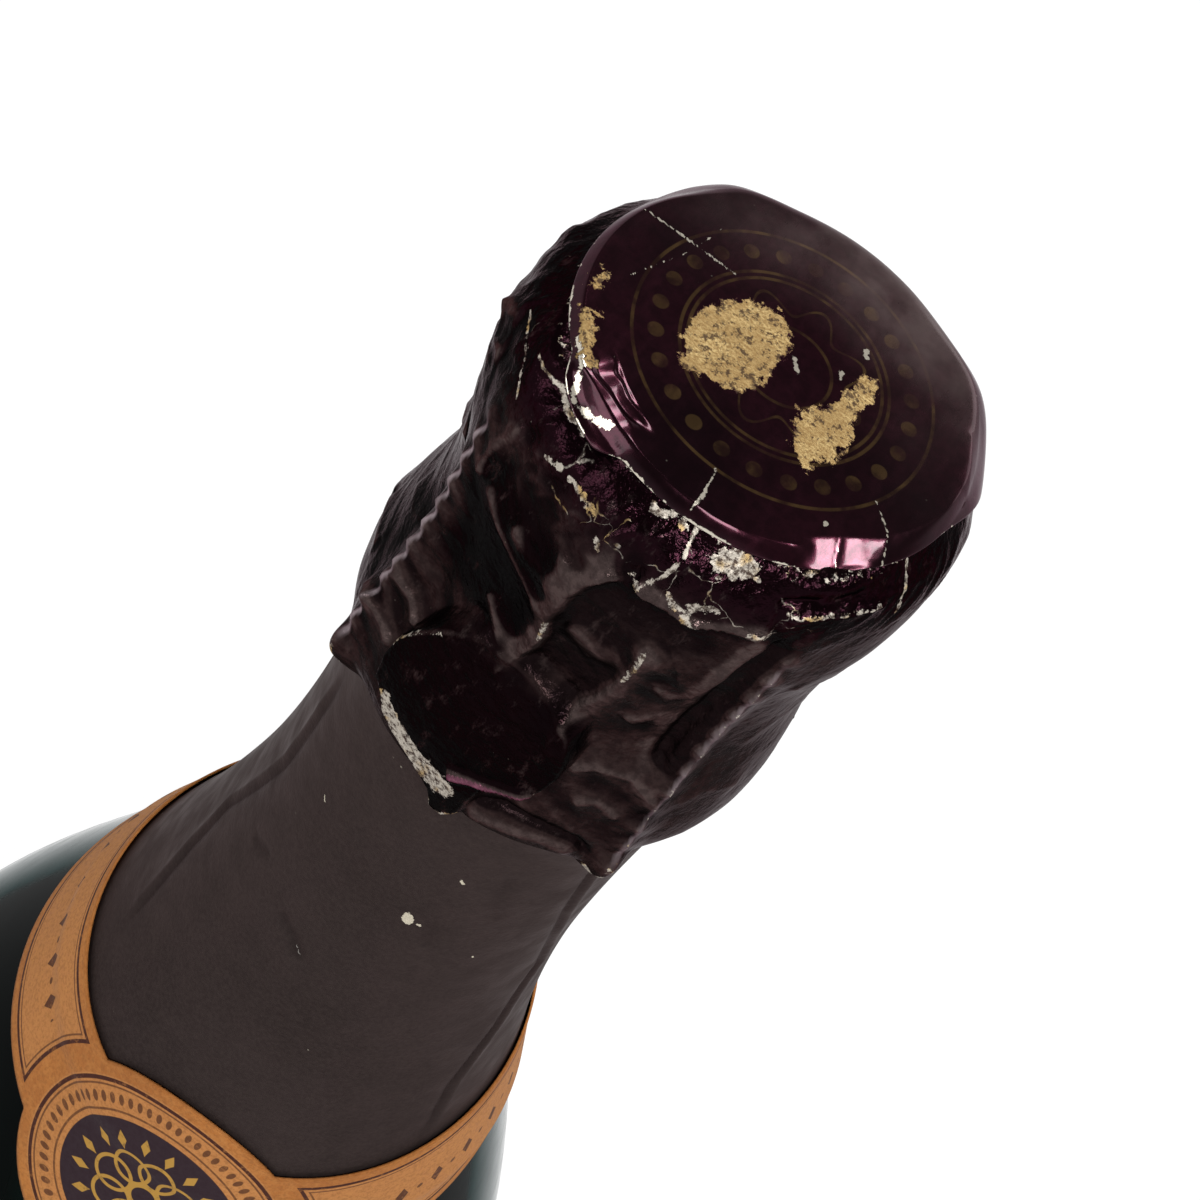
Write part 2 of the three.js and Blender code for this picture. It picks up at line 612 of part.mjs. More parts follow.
// A thin skin round the glass between two levels that may change with the azimuth
function glassSkin(azimuths, topAt, footAt, innerAt, thickness, rows) {
  const rings = azimuths.map((azimuth) => {
    const levels = steps(rows).map((u) => lerp(footAt(azimuth), topAt(azimuth), u));
    const outer = levels.map((z) => polar(innerAt(z) + thickness, azimuth, z));
    const inner = levels.map((z) => polar(innerAt(z), azimuth, z));
    return [...outer, ...inner.reverse()];
  });
  return skinned(rings, false);
}

function evenAzimuths(count) {
  return Array.from({ length: count }, (_, i) => (360 * i) / count);
}

function neckFoil() {
  const top = () => neckFoilTop;
  const foot = () => neckFoilFoot;
  const inner = (z) => glassRadius(z) + FOIL_GAP;
  return glassSkin(evenAzimuths(FOIL_SIDES), top, foot, inner, FOIL, NECK_FOIL_ROWS);
}

// Collar label: a band that dips at the front, with a round medallion there, over the foot of the neck foil
function bandMiddle(azimuth) {
  const angle = degToRad(azimuth);
  return BOTTLE_HEIGHT - LABEL_DROP - LABEL_DIP * Math.cos(angle) + LABEL_TILT * Math.sin(angle);
}

function medallionHalfHeight(azimuth) {
  const girth = glassRadius(BOTTLE_HEIGHT - MEDALLION_DROP);
  const away = arcLength(turnBetween(MEDALLION_AZIMUTH, azimuth), girth);
  return Math.sqrt(Math.max(0, MEDALLION_RADIUS ** 2 - away ** 2));
}

function labelEdge(azimuth, sign) {
  const band = bandMiddle(azimuth) + (sign * LABEL_BAND_WIDTH) / 2;
  const round = BOTTLE_HEIGHT - MEDALLION_DROP + sign * medallionHalfHeight(azimuth);
  return medallionHalfHeight(azimuth) > 0 ? sign * Math.max(sign * band, sign * round) : band;
}

function collarLabel() {
  const overFoil = FOIL_GAP + FOIL + LABEL_GAP;
  const stepTop = neckFoilFoot - LABEL_STEP_GAP;
  const inner = (z) =>
    glassRadius(z) + lerp(LABEL_GAP, overFoil, smoothstep(z, neckFoilFoot - LABEL_STEP, stepTop));
  const half = MEDALLION_SPAN / 2;
  const front = steps(MEDALLION_STEPS).slice(0, -1).map((u) => lerp(-half, half, u));
  const band = steps(BAND_STEPS).slice(0, -1).map((u) => lerp(half, 360 - half, u));
  const azimuths = [...front, ...band].map((turn) => MEDALLION_AZIMUTH + turn);
  const top = (azimuth) => labelEdge(azimuth, 1);
  const foot = (azimuth) => labelEdge(azimuth, -1);
  return glassSkin(azimuths, top, foot, inner, LABEL, LABEL_ROWS);
}

const framePath = cageFramePath();
const beltWirePath = beltPath();
console.log(`least gap of the frame wire to itself: ${leastGap(framePath).toFixed(2)} mm`);
console.log(`least gap of the belt wire to itself: ${leastGap(beltWirePath).toFixed(2)} mm`);

const bottle = new THREE.Group();
bottle.add(part('bottle_glass', bottleGlass(), 0x0f1a17, 0.08, 0));

const cork = new THREE.Group();
cork.add(
  part('cork_body', corkBody(), 0xb98d5c, 0.85, 0),
  part('cork_disc_upper', corkDisc(corkFoot + CORK_DISC_THICKNESS + GLUE_LINE, 0), 0xc79a66, 0.8, 0),
  part('cork_disc_lower', corkDisc(corkFoot, CORK_CHAMFER), 0xc79a66, 0.8, 0),
);

const cage = new THREE.Group();
cage.add(
  part('cage_plate', cagePlate(), 0x3a3136, 0.35, 0.9),
  part('cage_frame_wire', closedWire(framePath), 0x9a9a98, 0.35, 1),
  part('cage_belt_wire', closedWire(beltWirePath), 0x9a9a98, 0.35, 1),
);

const capsule = new THREE.Group();
capsule.add(
  part('capsule_hood', capsuleHood(), 0x1d1218, 0.3, 0.6),
  part('capsule_top_disc', capsuleTopDisc(), 0x2a1722, 0.25, 0.6),
);

const dressing = new THREE.Group();
dressing.add(
  part('neck_foil', neckFoil(), 0x3a3432, 0.6, 0.2),
  part('collar_label', collarLabel(), 0xbe7d41, 0.7, 0),
);

const group = new THREE.Group();
group.add(bottle, cork, cage, capsule, dressing);

export default group;
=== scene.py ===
"""Looks of a wired champagne bottle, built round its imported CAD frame.

Lengths inside the shape code are millimetres and become metres when a mesh is made. Azimuths are degrees
about +Z, from the front (-Y) towards +X. A depth is a distance below the top of the foil hood.
"""

import logging
import math
from dataclasses import dataclass, field
from enum import Enum

import bpy
import numpy as np
from mathutils import Matrix, Vector


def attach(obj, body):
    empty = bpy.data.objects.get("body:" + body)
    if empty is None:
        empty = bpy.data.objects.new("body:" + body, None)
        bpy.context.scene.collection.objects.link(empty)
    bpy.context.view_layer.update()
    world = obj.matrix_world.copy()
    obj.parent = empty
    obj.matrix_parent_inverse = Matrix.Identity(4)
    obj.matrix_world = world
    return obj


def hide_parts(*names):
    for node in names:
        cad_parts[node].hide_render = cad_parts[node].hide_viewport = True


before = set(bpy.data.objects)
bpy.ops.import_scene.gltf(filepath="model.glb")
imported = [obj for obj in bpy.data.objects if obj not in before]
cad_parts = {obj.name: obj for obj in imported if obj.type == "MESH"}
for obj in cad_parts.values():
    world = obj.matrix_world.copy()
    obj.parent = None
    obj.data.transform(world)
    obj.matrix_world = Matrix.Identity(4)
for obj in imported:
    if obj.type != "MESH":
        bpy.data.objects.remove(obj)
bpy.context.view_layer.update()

log = logging.getLogger("bottle")

MM = 0.001
CAPSULE_TOP = 324.5
SPLINE_STEPS = 40
LATTICE_ROWS = 512

Points = list[tuple[float, float]]
Array = np.ndarray
Socket = bpy.types.NodeSocket
Value = float | tuple | Socket


class Body(Enum):
    """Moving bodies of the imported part."""

    BOTTLE = "bottle"
    CORK = "cork"
    CAGE = "cage"
    CAPSULE = "capsule"


class CreaseForm(Enum):
    """How a crease falls away from its line: the power of its distance."""

    SHARP = 1.15
    SOFT = 2.0


def linear(red: int, green: int, blue: int) -> tuple[float, float, float, float]:
    """Turn a display colour into the linear colour that a shader takes.

    Args:
        red: Red level from 0 to 255.
        green: Green level from 0 to 255.
        blue: Blue level from 0 to 255.

    Returns:
        Linear red, green, blue and an alpha of 1.
    """
    levels = np.array([red, green, blue]) / 255.0
    low, high = levels / 12.92, ((levels + 0.055) / 1.055) ** 2.4
    return (*(float(x) for x in np.where(levels <= 0.04045, low, high)), 1.0)


def smoothstep(low: float, high: float, x: Array) -> Array:
    """Smooth ramp 3u^2 - 2u^3 with u = (x - low) / (high - low) kept between 0 and 1."""
    u = np.clip((np.asarray(x, float) - low) / (high - low), 0.0, 1.0)
    return u * u * (3.0 - 2.0 * u)


def mix(a: Array, b: Array, share: Array) -> Array:
    """Straight blend a + (b - a) share."""
    return a + (b - a) * share


def window(low: float, full: float, fall: float, high: float, x: Array) -> Array:
    """Smooth rise from low to full, and smooth fall from fall to high."""
    return smoothstep(low, full, x) * (1 - smoothstep(fall, high, x))


def bell(x: Array, width: float) -> Array:
    """Round bump exp(-(x / width)^2)."""
    return np.exp(-((np.asarray(x) / width) ** 2))


def polar(radius: Array, azimuth: Array, z: Array) -> Array:
    """Points (r sin az, -r cos az, z).

    Args:
        radius: Distances from the axis.
        azimuth: Azimuths in degrees.
        z: Heights.

    Returns:
        Array of the broadcast shape with a last axis of 3.
    """
    angle = np.radians(azimuth)
    x, y, z = np.broadcast_arrays(radius * np.sin(angle), -radius * np.cos(angle), z)
    return np.stack([x, y, z], axis=-1)


def turn_between(start: float, azimuth: Array) -> Array:
    """Shortest turn in degrees from start to each azimuth, from -180 to 180."""
    return (np.asarray(azimuth) - start + 180.0) % 360.0 - 180.0


def spline(points: Points, count: int, even: bool = False) -> Array:
    """Curve through points by cubic pieces, each with the slopes that its neighbours give.

    The knots lie apart by the square root of the distance between points, with the end steps carried on. Even
    knots lie one apart, with the end points doubled.

    Args:
        points: Points in the plane.
        count: Number of samples, equally far apart along the curve.
        even: Whether the knots are even.

    Returns:
        Array of count by 2.
    """
    p = np.array(points, float)
    ends = (p[0], p[-1]) if even else (2 * p[0] - p[1], 2 * p[-1] - p[-2])
    padded = np.vstack([ends[0], p, ends[1]])
    u = np.linspace(0.0, len(p) - 1.0, SPLINE_STEPS * len(p))
    k = np.minimum(u.astype(int), len(p) - 2)
    t = (u - k)[:, None]
    p0, p1, p2, p3 = (padded[k + i] for i in range(4))
    if even:
        v1, v2 = (p2 - p0) / 2, (p3 - p1) / 2
    else:
        d0, d1, d2 = (
            np.sqrt(np.linalg.norm(b - a, axis=1))[:, None] for a, b in ((p0, p1), (p1, p2), (p2, p3))
        )
        v1 = d1 * ((p1 - p0) / d0 - (p2 - p0) / (d0 + d1) + (p2 - p1) / d1)
        v2 = d1 * ((p2 - p1) / d1 - (p3 - p1) / (d1 + d2) + (p3 - p2) / d2)
    curve = (2 * p1 - 2 * p2 + v1 + v2) * t**3 + (3 * p2 - 3 * p1 - 2 * v1 - v2) * t**2 + v1 * t + p1
    return resampled(curve, count)


def resampled(curve: Array, count: int) -> Array:
    """Samples of a polyline, equally far apart along it.

    Args:
        curve: Points, one per row.
        count: Number of samples.

    Returns:
        Array of count rows.
    """
    length = np.concatenate([[0.0], np.cumsum(np.linalg.norm(np.diff(curve, axis=0), axis=1))])
    at = np.linspace(0.0, length[-1], count)
    return np.stack([np.interp(at, length, column) for column in curve.T], axis=1)


def lattice_noise(x: Array, y: Array, cells: int, step: float, seed: int) -> Array:
    """Value noise: random numbers on a lattice, joined by smooth ramps, periodic in x.

    Args:
        x: Turns round the piece, where 1 is a whole turn.
        y: Second coordinate in millimetres.
        cells: Lattice cells in one turn.
        step: Lattice step along y.
        seed: Seed of the random numbers.

    Returns:
        Values from -1 to 1.
    """
    values = np.random.default_rng(seed).uniform(-1.0, 1.0, (cells, LATTICE_ROWS))
    u, v = np.broadcast_arrays(np.asarray(x) * cells, np.asarray(y) / step + 100.0)
    i, j = np.floor(u).astype(int), np.floor(v).astype(int)
    a, b = smoothstep(0, 1, u - i), smoothstep(0, 1, v - j)
    low, high = (mix(values[i % cells, row % LATTICE_ROWS], values[(i + 1) % cells, row % LATTICE_ROWS], a)
                 for row in (j, j + 1))
    return mix(low, high, b)


def local_mean(field_values: Array, rows: int, columns: int) -> Array:
    """Mean over a window of rows and columns about each point, with the columns going round.

    Args:
        field_values: Values, rows by columns.
        rows: Rows on either side.
        columns: Columns on either side.

    Returns:
        Array of the same shape.
    """
    tall = np.pad(field_values, ((rows, rows), (0, 0)), mode="edge")
    tall = np.lib.stride_tricks.sliding_window_view(tall, 2 * rows + 1, axis=0).mean(axis=-1)
    wide = np.pad(tall, ((0, 0), (columns, columns)), mode="wrap")
    return np.lib.stride_tricks.sliding_window_view(wide, 2 * columns + 1, axis=1).mean(axis=-1)


@dataclass(frozen=True)
class Chart:
    """Flat coordinates of a surface's points: azimuth and depth, or x and distance towards the front.

    The scale is the length in millimetres of one unit of x. Depths are in millimetres.
    """

    x: Array
    y: Array
    scale: float = 1.0


@dataclass(frozen=True)
class Track:
    """A line drawn on a foil, through points of a chart."""

    points: Points

    def measure(self, chart: Chart) -> tuple[Array, Array, Array]:
        """Distance to the nearest stretch of the line.

        Args:
            chart: Coordinates of the surface's points.

        Returns:
            Distance, side (1 on the left of the line's way, else -1) and share along the line.
        """
        path = np.array(self.points, float) * (chart.scale, 1.0)
        px, py = np.broadcast_arrays(np.asarray(chart.x, float) * chart.scale, np.asarray(chart.y, float))
        lengths = np.linalg.norm(np.diff(path, axis=0), axis=1)
        starts = np.concatenate([[0.0], np.cumsum(lengths)])
        nearest = np.full(px.shape, np.inf)
        side, along = np.ones(px.shape), np.zeros(px.shape)
        for start, (ax, ay), (bx, by), length in zip(starts, path[:-1], path[1:], lengths):
            ux, uy = (bx - ax) / length, (by - ay) / length
            s = np.clip((px - ax) * ux + (py - ay) * uy, 0.0, length)
            away = np.hypot(px - ax - s * ux, py - ay - s * uy)
            closer = away < nearest
            nearest = np.where(closer, away, nearest)
            side = np.where(closer, np.where(uy * (px - ax) - ux * (py - ay) > 0, 1.0, -1.0), side)
            along = np.where(closer, (start + s) / starts[-1], along)
        return nearest, side, along


@dataclass(frozen=True)
class Crease(Track):
    """A pinched or pressed line in foil: height exp(-(d / width)^form), fading at both ends."""

    height: float = 0.4
    left: float = 0.6
    right: float = 0.6
    form: CreaseForm = CreaseForm.SHARP
    fade: float = 0.12

    def lift(self, chart: Chart) -> Array:
        """Outward lift in millimetres of each point of the surface.

        Args:
            chart: Coordinates of the surface's points.

        Returns:
            Lift in millimetres.
        """
        away, side, along = self.measure(chart)
        width = np.where(side > 0, self.left, self.right)
        ends = smoothstep(0.0, self.fade, along) * smoothstep(0.0, self.fade, 1.0 - along)
        return self.height * np.exp(-((away / width) ** self.form.value)) * ends


@dataclass(frozen=True)
class Scuff(Track):
    """A worn line: peak exp(-(d / width)^2), which the finish breaks up into flecks."""

    width: float = 0.3
    peak: float = 0.72

    def wear(self, chart: Chart) -> Array:
        """Wear of each point of the surface, from 0 to 1."""
        return self.peak * bell(self.measure(chart)[0], self.width)


@dataclass(frozen=True)
class Patch(Track):
    """A closed outline on a foil, with a signed distance that is positive inside."""

    soft: float = 0.5

    def inside(self, chart: Chart) -> Array:
        """Distance to the outline, positive inside, where a level line crosses it an odd number of times.

        Args:
            chart: Coordinates of the surface's points.

        Returns:
            Signed distances in millimetres.
        """
        loop = [*self.points, self.points[0]]
        away = Track(loop).measure(chart)[0]
        px, py = np.broadcast_arrays(np.asarray(chart.x, float), np.asarray(chart.y, float))
        crossings = np.zeros(px.shape, int)
        for (ax, ay), (bx, by) in zip(loop[:-1], loop[1:]):
            if ay != by:
                spans = (ay > py) != (by > py)
                crossings += spans & (px < ax + (py - ay) * (bx - ax) / (by - ay))
        return np.where(crossings % 2 == 1, away, -away)

    def wear(self, chart: Chart) -> Array:
        """Wear from 0 to 1: one half on the outline, 1 at soft millimetres inside."""
        return np.clip(0.5 + 0.5 * self.inside(chart) / self.soft, 0.0, 1.0)


def worn_by(marks: list[Scuff | Patch], chart: Chart) -> Array:
    """Greatest wear of several marks at each point."""
    return np.maximum.reduce([mark.wear(chart) for mark in marks])


def lifted_by(creases: list[Crease], chart: Chart) -> Array:
    """Sum of the lifts of several creases at each point."""
    return np.add.reduce([crease.lift(chart) for crease in creases])


class Surface:
    """A mesh made from a grid of points, with rows, columns, attributes and UV maps as whole arrays."""

    def __init__(self, points: Array, close_rows: bool = False, close_columns: bool = False) -> None:
        """Take the grid.

        Args:
            points: Millimetres, rows by columns by 3.
            close_rows: Whether the last row joins the first.
            close_columns: Whether the last column joins the first.
        """
        self.points = np.asarray(points, float)
        self.rows, self.columns = self.points.shape[:2]
        self.close_rows, self.close_columns = close_rows, close_columns
        self.attributes: dict[str, Array] = {}
        self.maps: dict[str, tuple[Array, Array, float]] = {}
        self.material_rows: Array | None = None

    def corners(self) -> tuple[Array, Array]:
        """Row and column index of each face's four corners, unwrapped past the seam.

        Returns:
            Two arrays of faces by 4.
        """
        rows = np.arange(self.rows if self.close_rows else self.rows - 1)
        columns = np.arange(self.columns if self.close_columns else self.columns - 1)
        i, j = (a.ravel() for a in np.meshgrid(rows, columns, indexing="ij"))
        return np.stack([i, i, i + 1, i + 1], axis=1), np.stack([j, j + 1, j + 1, j], axis=1)

    def make(self, name: str, body: Body, node: str, slot: str, materials: list) -> bpy.types.Object:
        """Put the grid into a mesh object that rides a body and stands for a CAD node.

        Args:
            name: Name of the piece.
            body: Body that it moves with.
            node: CAD node that it replaces.
            slot: Material slot of the record; not used.
            materials: Materials, the first for all faces that have no other.

        Returns:
            The object, at the origin.
        """
        i, j = self.corners()
        index = (i % self.rows) * self.columns + (j % self.columns)
        points = self.points.reshape(-1, 3)
        points, index, keep = merged(points, index)
        mesh = bpy.data.meshes.new(name)
        faces, sizes = without_repeats(index)
        mesh.from_pydata((points * MM).tolist(), [], faces)
        mesh.polygons.foreach_set("use_smooth", np.ones(len(faces), bool))
        for key, values in self.attributes.items():
            layer = mesh.attributes.new(key, "FLOAT", "POINT")
            layer.data.foreach_set("value", np.asarray(values, np.float32).reshape(-1)[keep])
        kept = sizes > 0
        for key, (u, v, turn) in self.maps.items():
            layer = mesh.uv_layers.new(name=key)
            uu = u[i % self.rows, j % self.columns] + turn * (j // self.columns)
            vv = v[i % self.rows, j % self.columns]
            pairs = np.stack([uu, vv], axis=-1)[kept & (sizes == 4)]
            layer.data.foreach_set("uv", pairs.astype(np.float32).ravel())
        if self.material_rows is not None:
            chosen = self.material_rows[i[:, 0] % self.rows][kept]
            mesh.polygons.foreach_set("material_index", chosen.astype(np.int32))
        for material in materials:
            mesh.materials.append(material)
        if mesh_volume(mesh) < 0:
            mesh.flip_normals()
        mesh.validate()
        mesh.update()
        piece = bpy.data.objects.new(name, mesh)
        bpy.context.scene.collection.objects.link(piece)
        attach(piece, body.value)
        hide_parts(node)
        log.info("%s: %d points, %d faces", name, len(points), len(faces))
        return piece


def merged(points: Array, index: Array) -> tuple[Array, Array, Array]:
    """Merge points that lie on the axis at one height, so that a pole is a single point.

    Args:
        points: All points, one per row.
        index: Corner indices of the faces.

    Returns:
        Points that are kept, new corner indices, and the old index of each kept point.
    """
    on_axis = np.hypot(points[:, 0], points[:, 1]) < 1e-9
    key = np.where(on_axis, -1 - np.round(points[:, 2] * 1e4).astype(int), np.arange(len(points)))
    _, keep, back = np.unique(key, return_index=True, return_inverse=True)
    return points[keep], back.reshape(-1)[index], keep


def without_repeats(index: Array) -> tuple[list, Array]:
    """Drop repeated corners beside a pole.

    Args:
        index: Corner indices, faces by 4.

    Returns:
        Faces as lists, and how many corners each row kept, 0 for one with no area.
    """
    same = index == np.roll(index, -1, axis=1)
    sizes = 4 - same.sum(axis=1)
    sizes = np.where(sizes < 3, 0, sizes)
    faces = [row[~drop].tolist() for row, drop, n in zip(index, same, sizes) if n]
    return faces, sizes


def mesh_volume(mesh: bpy.types.Mesh) -> float:
    """Signed volume of a closed mesh: the sum of its triangles' corner products over 6."""
    mesh.calc_loop_triangles()
    co = np.empty(len(mesh.vertices) * 3)
    mesh.vertices.foreach_get("co", co)
    tri = np.empty(len(mesh.loop_triangles) * 3, np.int32)
    mesh.loop_triangles.foreach_get("vertices", tri)
    a, b, c = co.reshape(-1, 3)[tri.reshape(-1, 3)].transpose(1, 0, 2)
    return float(np.einsum("ij,ij->", a, np.cross(b, c)) / 6)


def wall(outer: Array, inner: Array) -> Array:
    """Closed section of a thin skin: down its outside and back up its inside.

    Args:
        outer: Outer points, rows by columns by 3.
        inner: Inner points, rows by columns by 3.

    Returns:
        Rows of the closed section.
    """
    return np.concatenate([outer, inner[::-1]], axis=0)


def tube(path: Array, radius: float, sides: int) -> Array:
    """Round tube along a closed path; its sections are carried along without spin, the last turn shared out.

    Args:
        path: Points of the closed path.
        radius: Radius of the tube.
        sides: Points round a section.

    Returns:
        Grid of path points by sides by 3.
    """
    tangent = np.roll(path, -1, axis=0) - np.roll(path, 1, axis=0)
    tangent /= np.linalg.norm(tangent, axis=1)[:, None]
    normal = np.cross((0.0, 0.0, 1.0), tangent[0])
    carried = [normal / np.linalg.norm(normal)]
    for along in np.vstack([tangent[1:], tangent[:1]]):
        normal = carried[-1] - along * (carried[-1] @ along)
        carried.append(normal / np.linalg.norm(normal))
    first, last = carried[0], carried[-1]
    spin = math.atan2(first @ np.cross(tangent[0], last), first @ last)
    normals = np.array(carried[:-1])
    binormals = np.cross(tangent, normals)
    turn = (spin * np.arange(len(path)) / len(path))[:, None] + np.linspace(
        0, 2 * np.pi, sides, endpoint=False
    )
    ring = np.cos(turn)[..., None] * normals[:, None] + np.sin(turn)[..., None] * binormals[:, None]
    return path[:, None] + radius * ring


class Nodes:
    """Adds and links the shader nodes of one material."""

    def __init__(self, name: str) -> None:
        """Start a material with an empty node tree."""
        self.material = bpy.data.materials.new(name)
        self.material.use_nodes = True
        self.tree = self.material.node_tree
        self.tree.nodes.clear()
        self.end = self.add("ShaderNodeOutputMaterial")

    def add(self, kind: str, **settings: object) -> bpy.types.Node:
        """Add a node and set its properties."""
        node = self.tree.nodes.new(kind)
        for key, value in settings.items():
            setattr(node, key, value)
        return node

    def feed(self, socket: Socket, value: Value) -> None:
        """Link a socket's source to an input, or set the input's own value."""
        if isinstance(value, bpy.types.NodeSocket):
            self.tree.links.new(value, socket)
        else:
            socket.default_value = value

    def math(self, operation: str, a: Value, b: Value = 0.0, c: Value = 0.0) -> Socket:
        """One step of arithmetic on numbers."""
        node = self.add("ShaderNodeMath", operation=operation)
        for socket, value in zip(node.inputs, (a, b, c)):
            self.feed(socket, value)
        return node.outputs[0]

    def times(self, a: Value, b: Value) -> Socket:
        """Product of two values."""
        return self.math("MULTIPLY", a, b)

    def plus(self, a: Value, b: Value) -> Socket:
        """Sum of two values."""
        return self.math("ADD", a, b)

    def minus(self, a: Value, b: Value) -> Socket:
        """First value less the second."""
        return self.math("SUBTRACT", a, b)

    def most(self, a: Value, b: Value) -> Socket:
        """Larger of two values."""
        return self.math("MAXIMUM", a, b)

    def hypot(self, a: Socket, b: Socket) -> Socket:
        """Root of the sum of two squares."""
        return self.math("SQRT", self.plus(self.times(a, a), self.times(b, b)))

    def from_nearest(self, value: Socket, step: float) -> Socket:
        """Signed way to a value from the nearest whole number of steps."""
        whole = self.math("ROUND", self.math("DIVIDE", value, step))
        return self.minus(value, self.times(whole, step))

    def place(self) -> Socket:
        """Object coordinates, in metres."""
        return self.add("ShaderNodeTexCoord").outputs["Object"]

    def attribute(self, name: str) -> Socket:
        """A number stored on the mesh."""
        return self.add("ShaderNodeAttribute", attribute_name=name).outputs["Fac"]

    def map_axes(self, name: str) -> tuple[Socket, Socket]:
        """The two coordinates of a UV map."""
        split = self.add("ShaderNodeSeparateXYZ")
        self.feed(split.inputs[0], self.add("ShaderNodeUVMap", uv_map=name).outputs[0])
        return split.outputs[0], split.outputs[1]

    def noise(self, scale: float, detail: float = 3.0, rough: float = 0.5, stretch: Value = None) -> Socket:
        """Cloud noise on Object coordinates, from 0 to 1.

        Args:
            scale: Features per metre.
            detail: Octaves.
            rough: Share of the finer octaves.
            stretch: Factors for the three axes, or nothing.

        Returns:
            The noise's value.
        """
        where = self.place()
        if stretch is not None:
            mapping = self.add("ShaderNodeMapping")
            self.feed(mapping.inputs["Vector"], where)
            mapping.inputs["Scale"].default_value = stretch
            where = mapping.outputs[0]
        node = self.add("ShaderNodeTexNoise")
        self.feed(node.inputs["Vector"], where)
        node.inputs["Scale"].default_value = scale
        node.inputs["Detail"].default_value = detail
        node.inputs["Roughness"].default_value = rough
        return node.outputs["Fac"]

    def warped(self, scale: float, amount: float) -> Socket:
        """Object coordinates moved about by noise, by amount metres, so that cell borders run unevenly."""
        shift = self.add("ShaderNodeTexNoise")
        self.feed(shift.inputs["Vector"], self.place())
        shift.inputs["Scale"].default_value = scale
        moved = self.add("ShaderNodeVectorMath", operation="MULTIPLY_ADD")
        self.feed(moved.inputs[0], shift.outputs["Color"])
        moved.inputs[1].default_value = (amount, amount, amount)
        self.feed(moved.inputs[2], self.place())
        return moved.outputs[0]

    def cells(
        self, scale: float, feature: str = "F1", output: str = "Distance", where: Value = None
    ) -> Socket:
        """Cell pattern on Object coordinates, or on given ones."""
        node = self.add("ShaderNodeTexVoronoi", feature=feature)
        self.feed(node.inputs["Vector"], self.place() if where is None else where)
        node.inputs["Scale"].default_value = scale
        return node.outputs[output]

    def span(self, value: Value, low: float, high: float, start: float = 0.0, end: float = 1.0) -> Socket:
        """Smooth ramp of a value from low to high, onto start to end."""
        node = self.add("ShaderNodeMapRange", interpolation_type="SMOOTHSTEP")
        for socket, number in zip(node.inputs, (value, low, high, start, end)):
            self.feed(socket, number)
        return node.outputs[0]

    def blend(self, share: Value, a: Value, b: Value) -> Socket:
        """Colour a at share 0 and b at share 1."""
        node = self.add("ShaderNodeMix", data_type="RGBA")
        self.feed(node.inputs[0], share)
        self.feed(node.inputs[6], a)
        self.feed(node.inputs[7], b)
        return node.outputs[2]

    def number(self, share: Value, a: Value, b: Value) -> Socket:
        """Number a at share 0 and b at share 1."""
        node = self.add("ShaderNodeMix", data_type="FLOAT")
        self.feed(node.inputs[0], share)
        self.feed(node.inputs[2], a)
        self.feed(node.inputs[3], b)
        return node.outputs[0]

    def ragged(self, field_value: Value, scale: float, ragged: float, edge: float = 0.05) -> Socket:
        """Crisp mask where a soft field passes one half, with an edge that noise makes uneven.

        Args:
            field_value: Field from 0 to 1.
            scale: Noise features per metre.
            ragged: How far the noise moves the edge.
            edge: Half the width of the ramp.

        Returns:
            Mask from 0 to 1.
        """
        shake = self.math("MULTIPLY_ADD", self.noise(scale, 5.0, 0.65), ragged, -ragged / 2)
        return self.span(self.plus(field_value, shake), 0.5 - edge, 0.5 + edge)

    def bump(self, height: Socket, distance: float, strength: float = 1.0, under: Value = None) -> Socket:
        """Bent normal from a height field, whose unit is distance in metres."""
        node = self.add("ShaderNodeBump")
        node.inputs["Strength"].default_value = strength
        node.inputs["Distance"].default_value = distance
        self.feed(node.inputs["Height"], height)
        if under is not None:
            self.feed(node.inputs["Normal"], under)
        return node.outputs[0]

    def shade(self, **inputs: Value) -> bpy.types.Material:
        """Finish the material with one Principled shader, whose inputs are named with _ for a space."""
        shader = self.add("ShaderNodeBsdfPrincipled")
        for key, value in inputs.items():
            self.feed(shader.inputs[key.replace("_", " ")], value)
        self.feed(self.end.inputs["Surface"], shader.outputs[0])
        return self.material


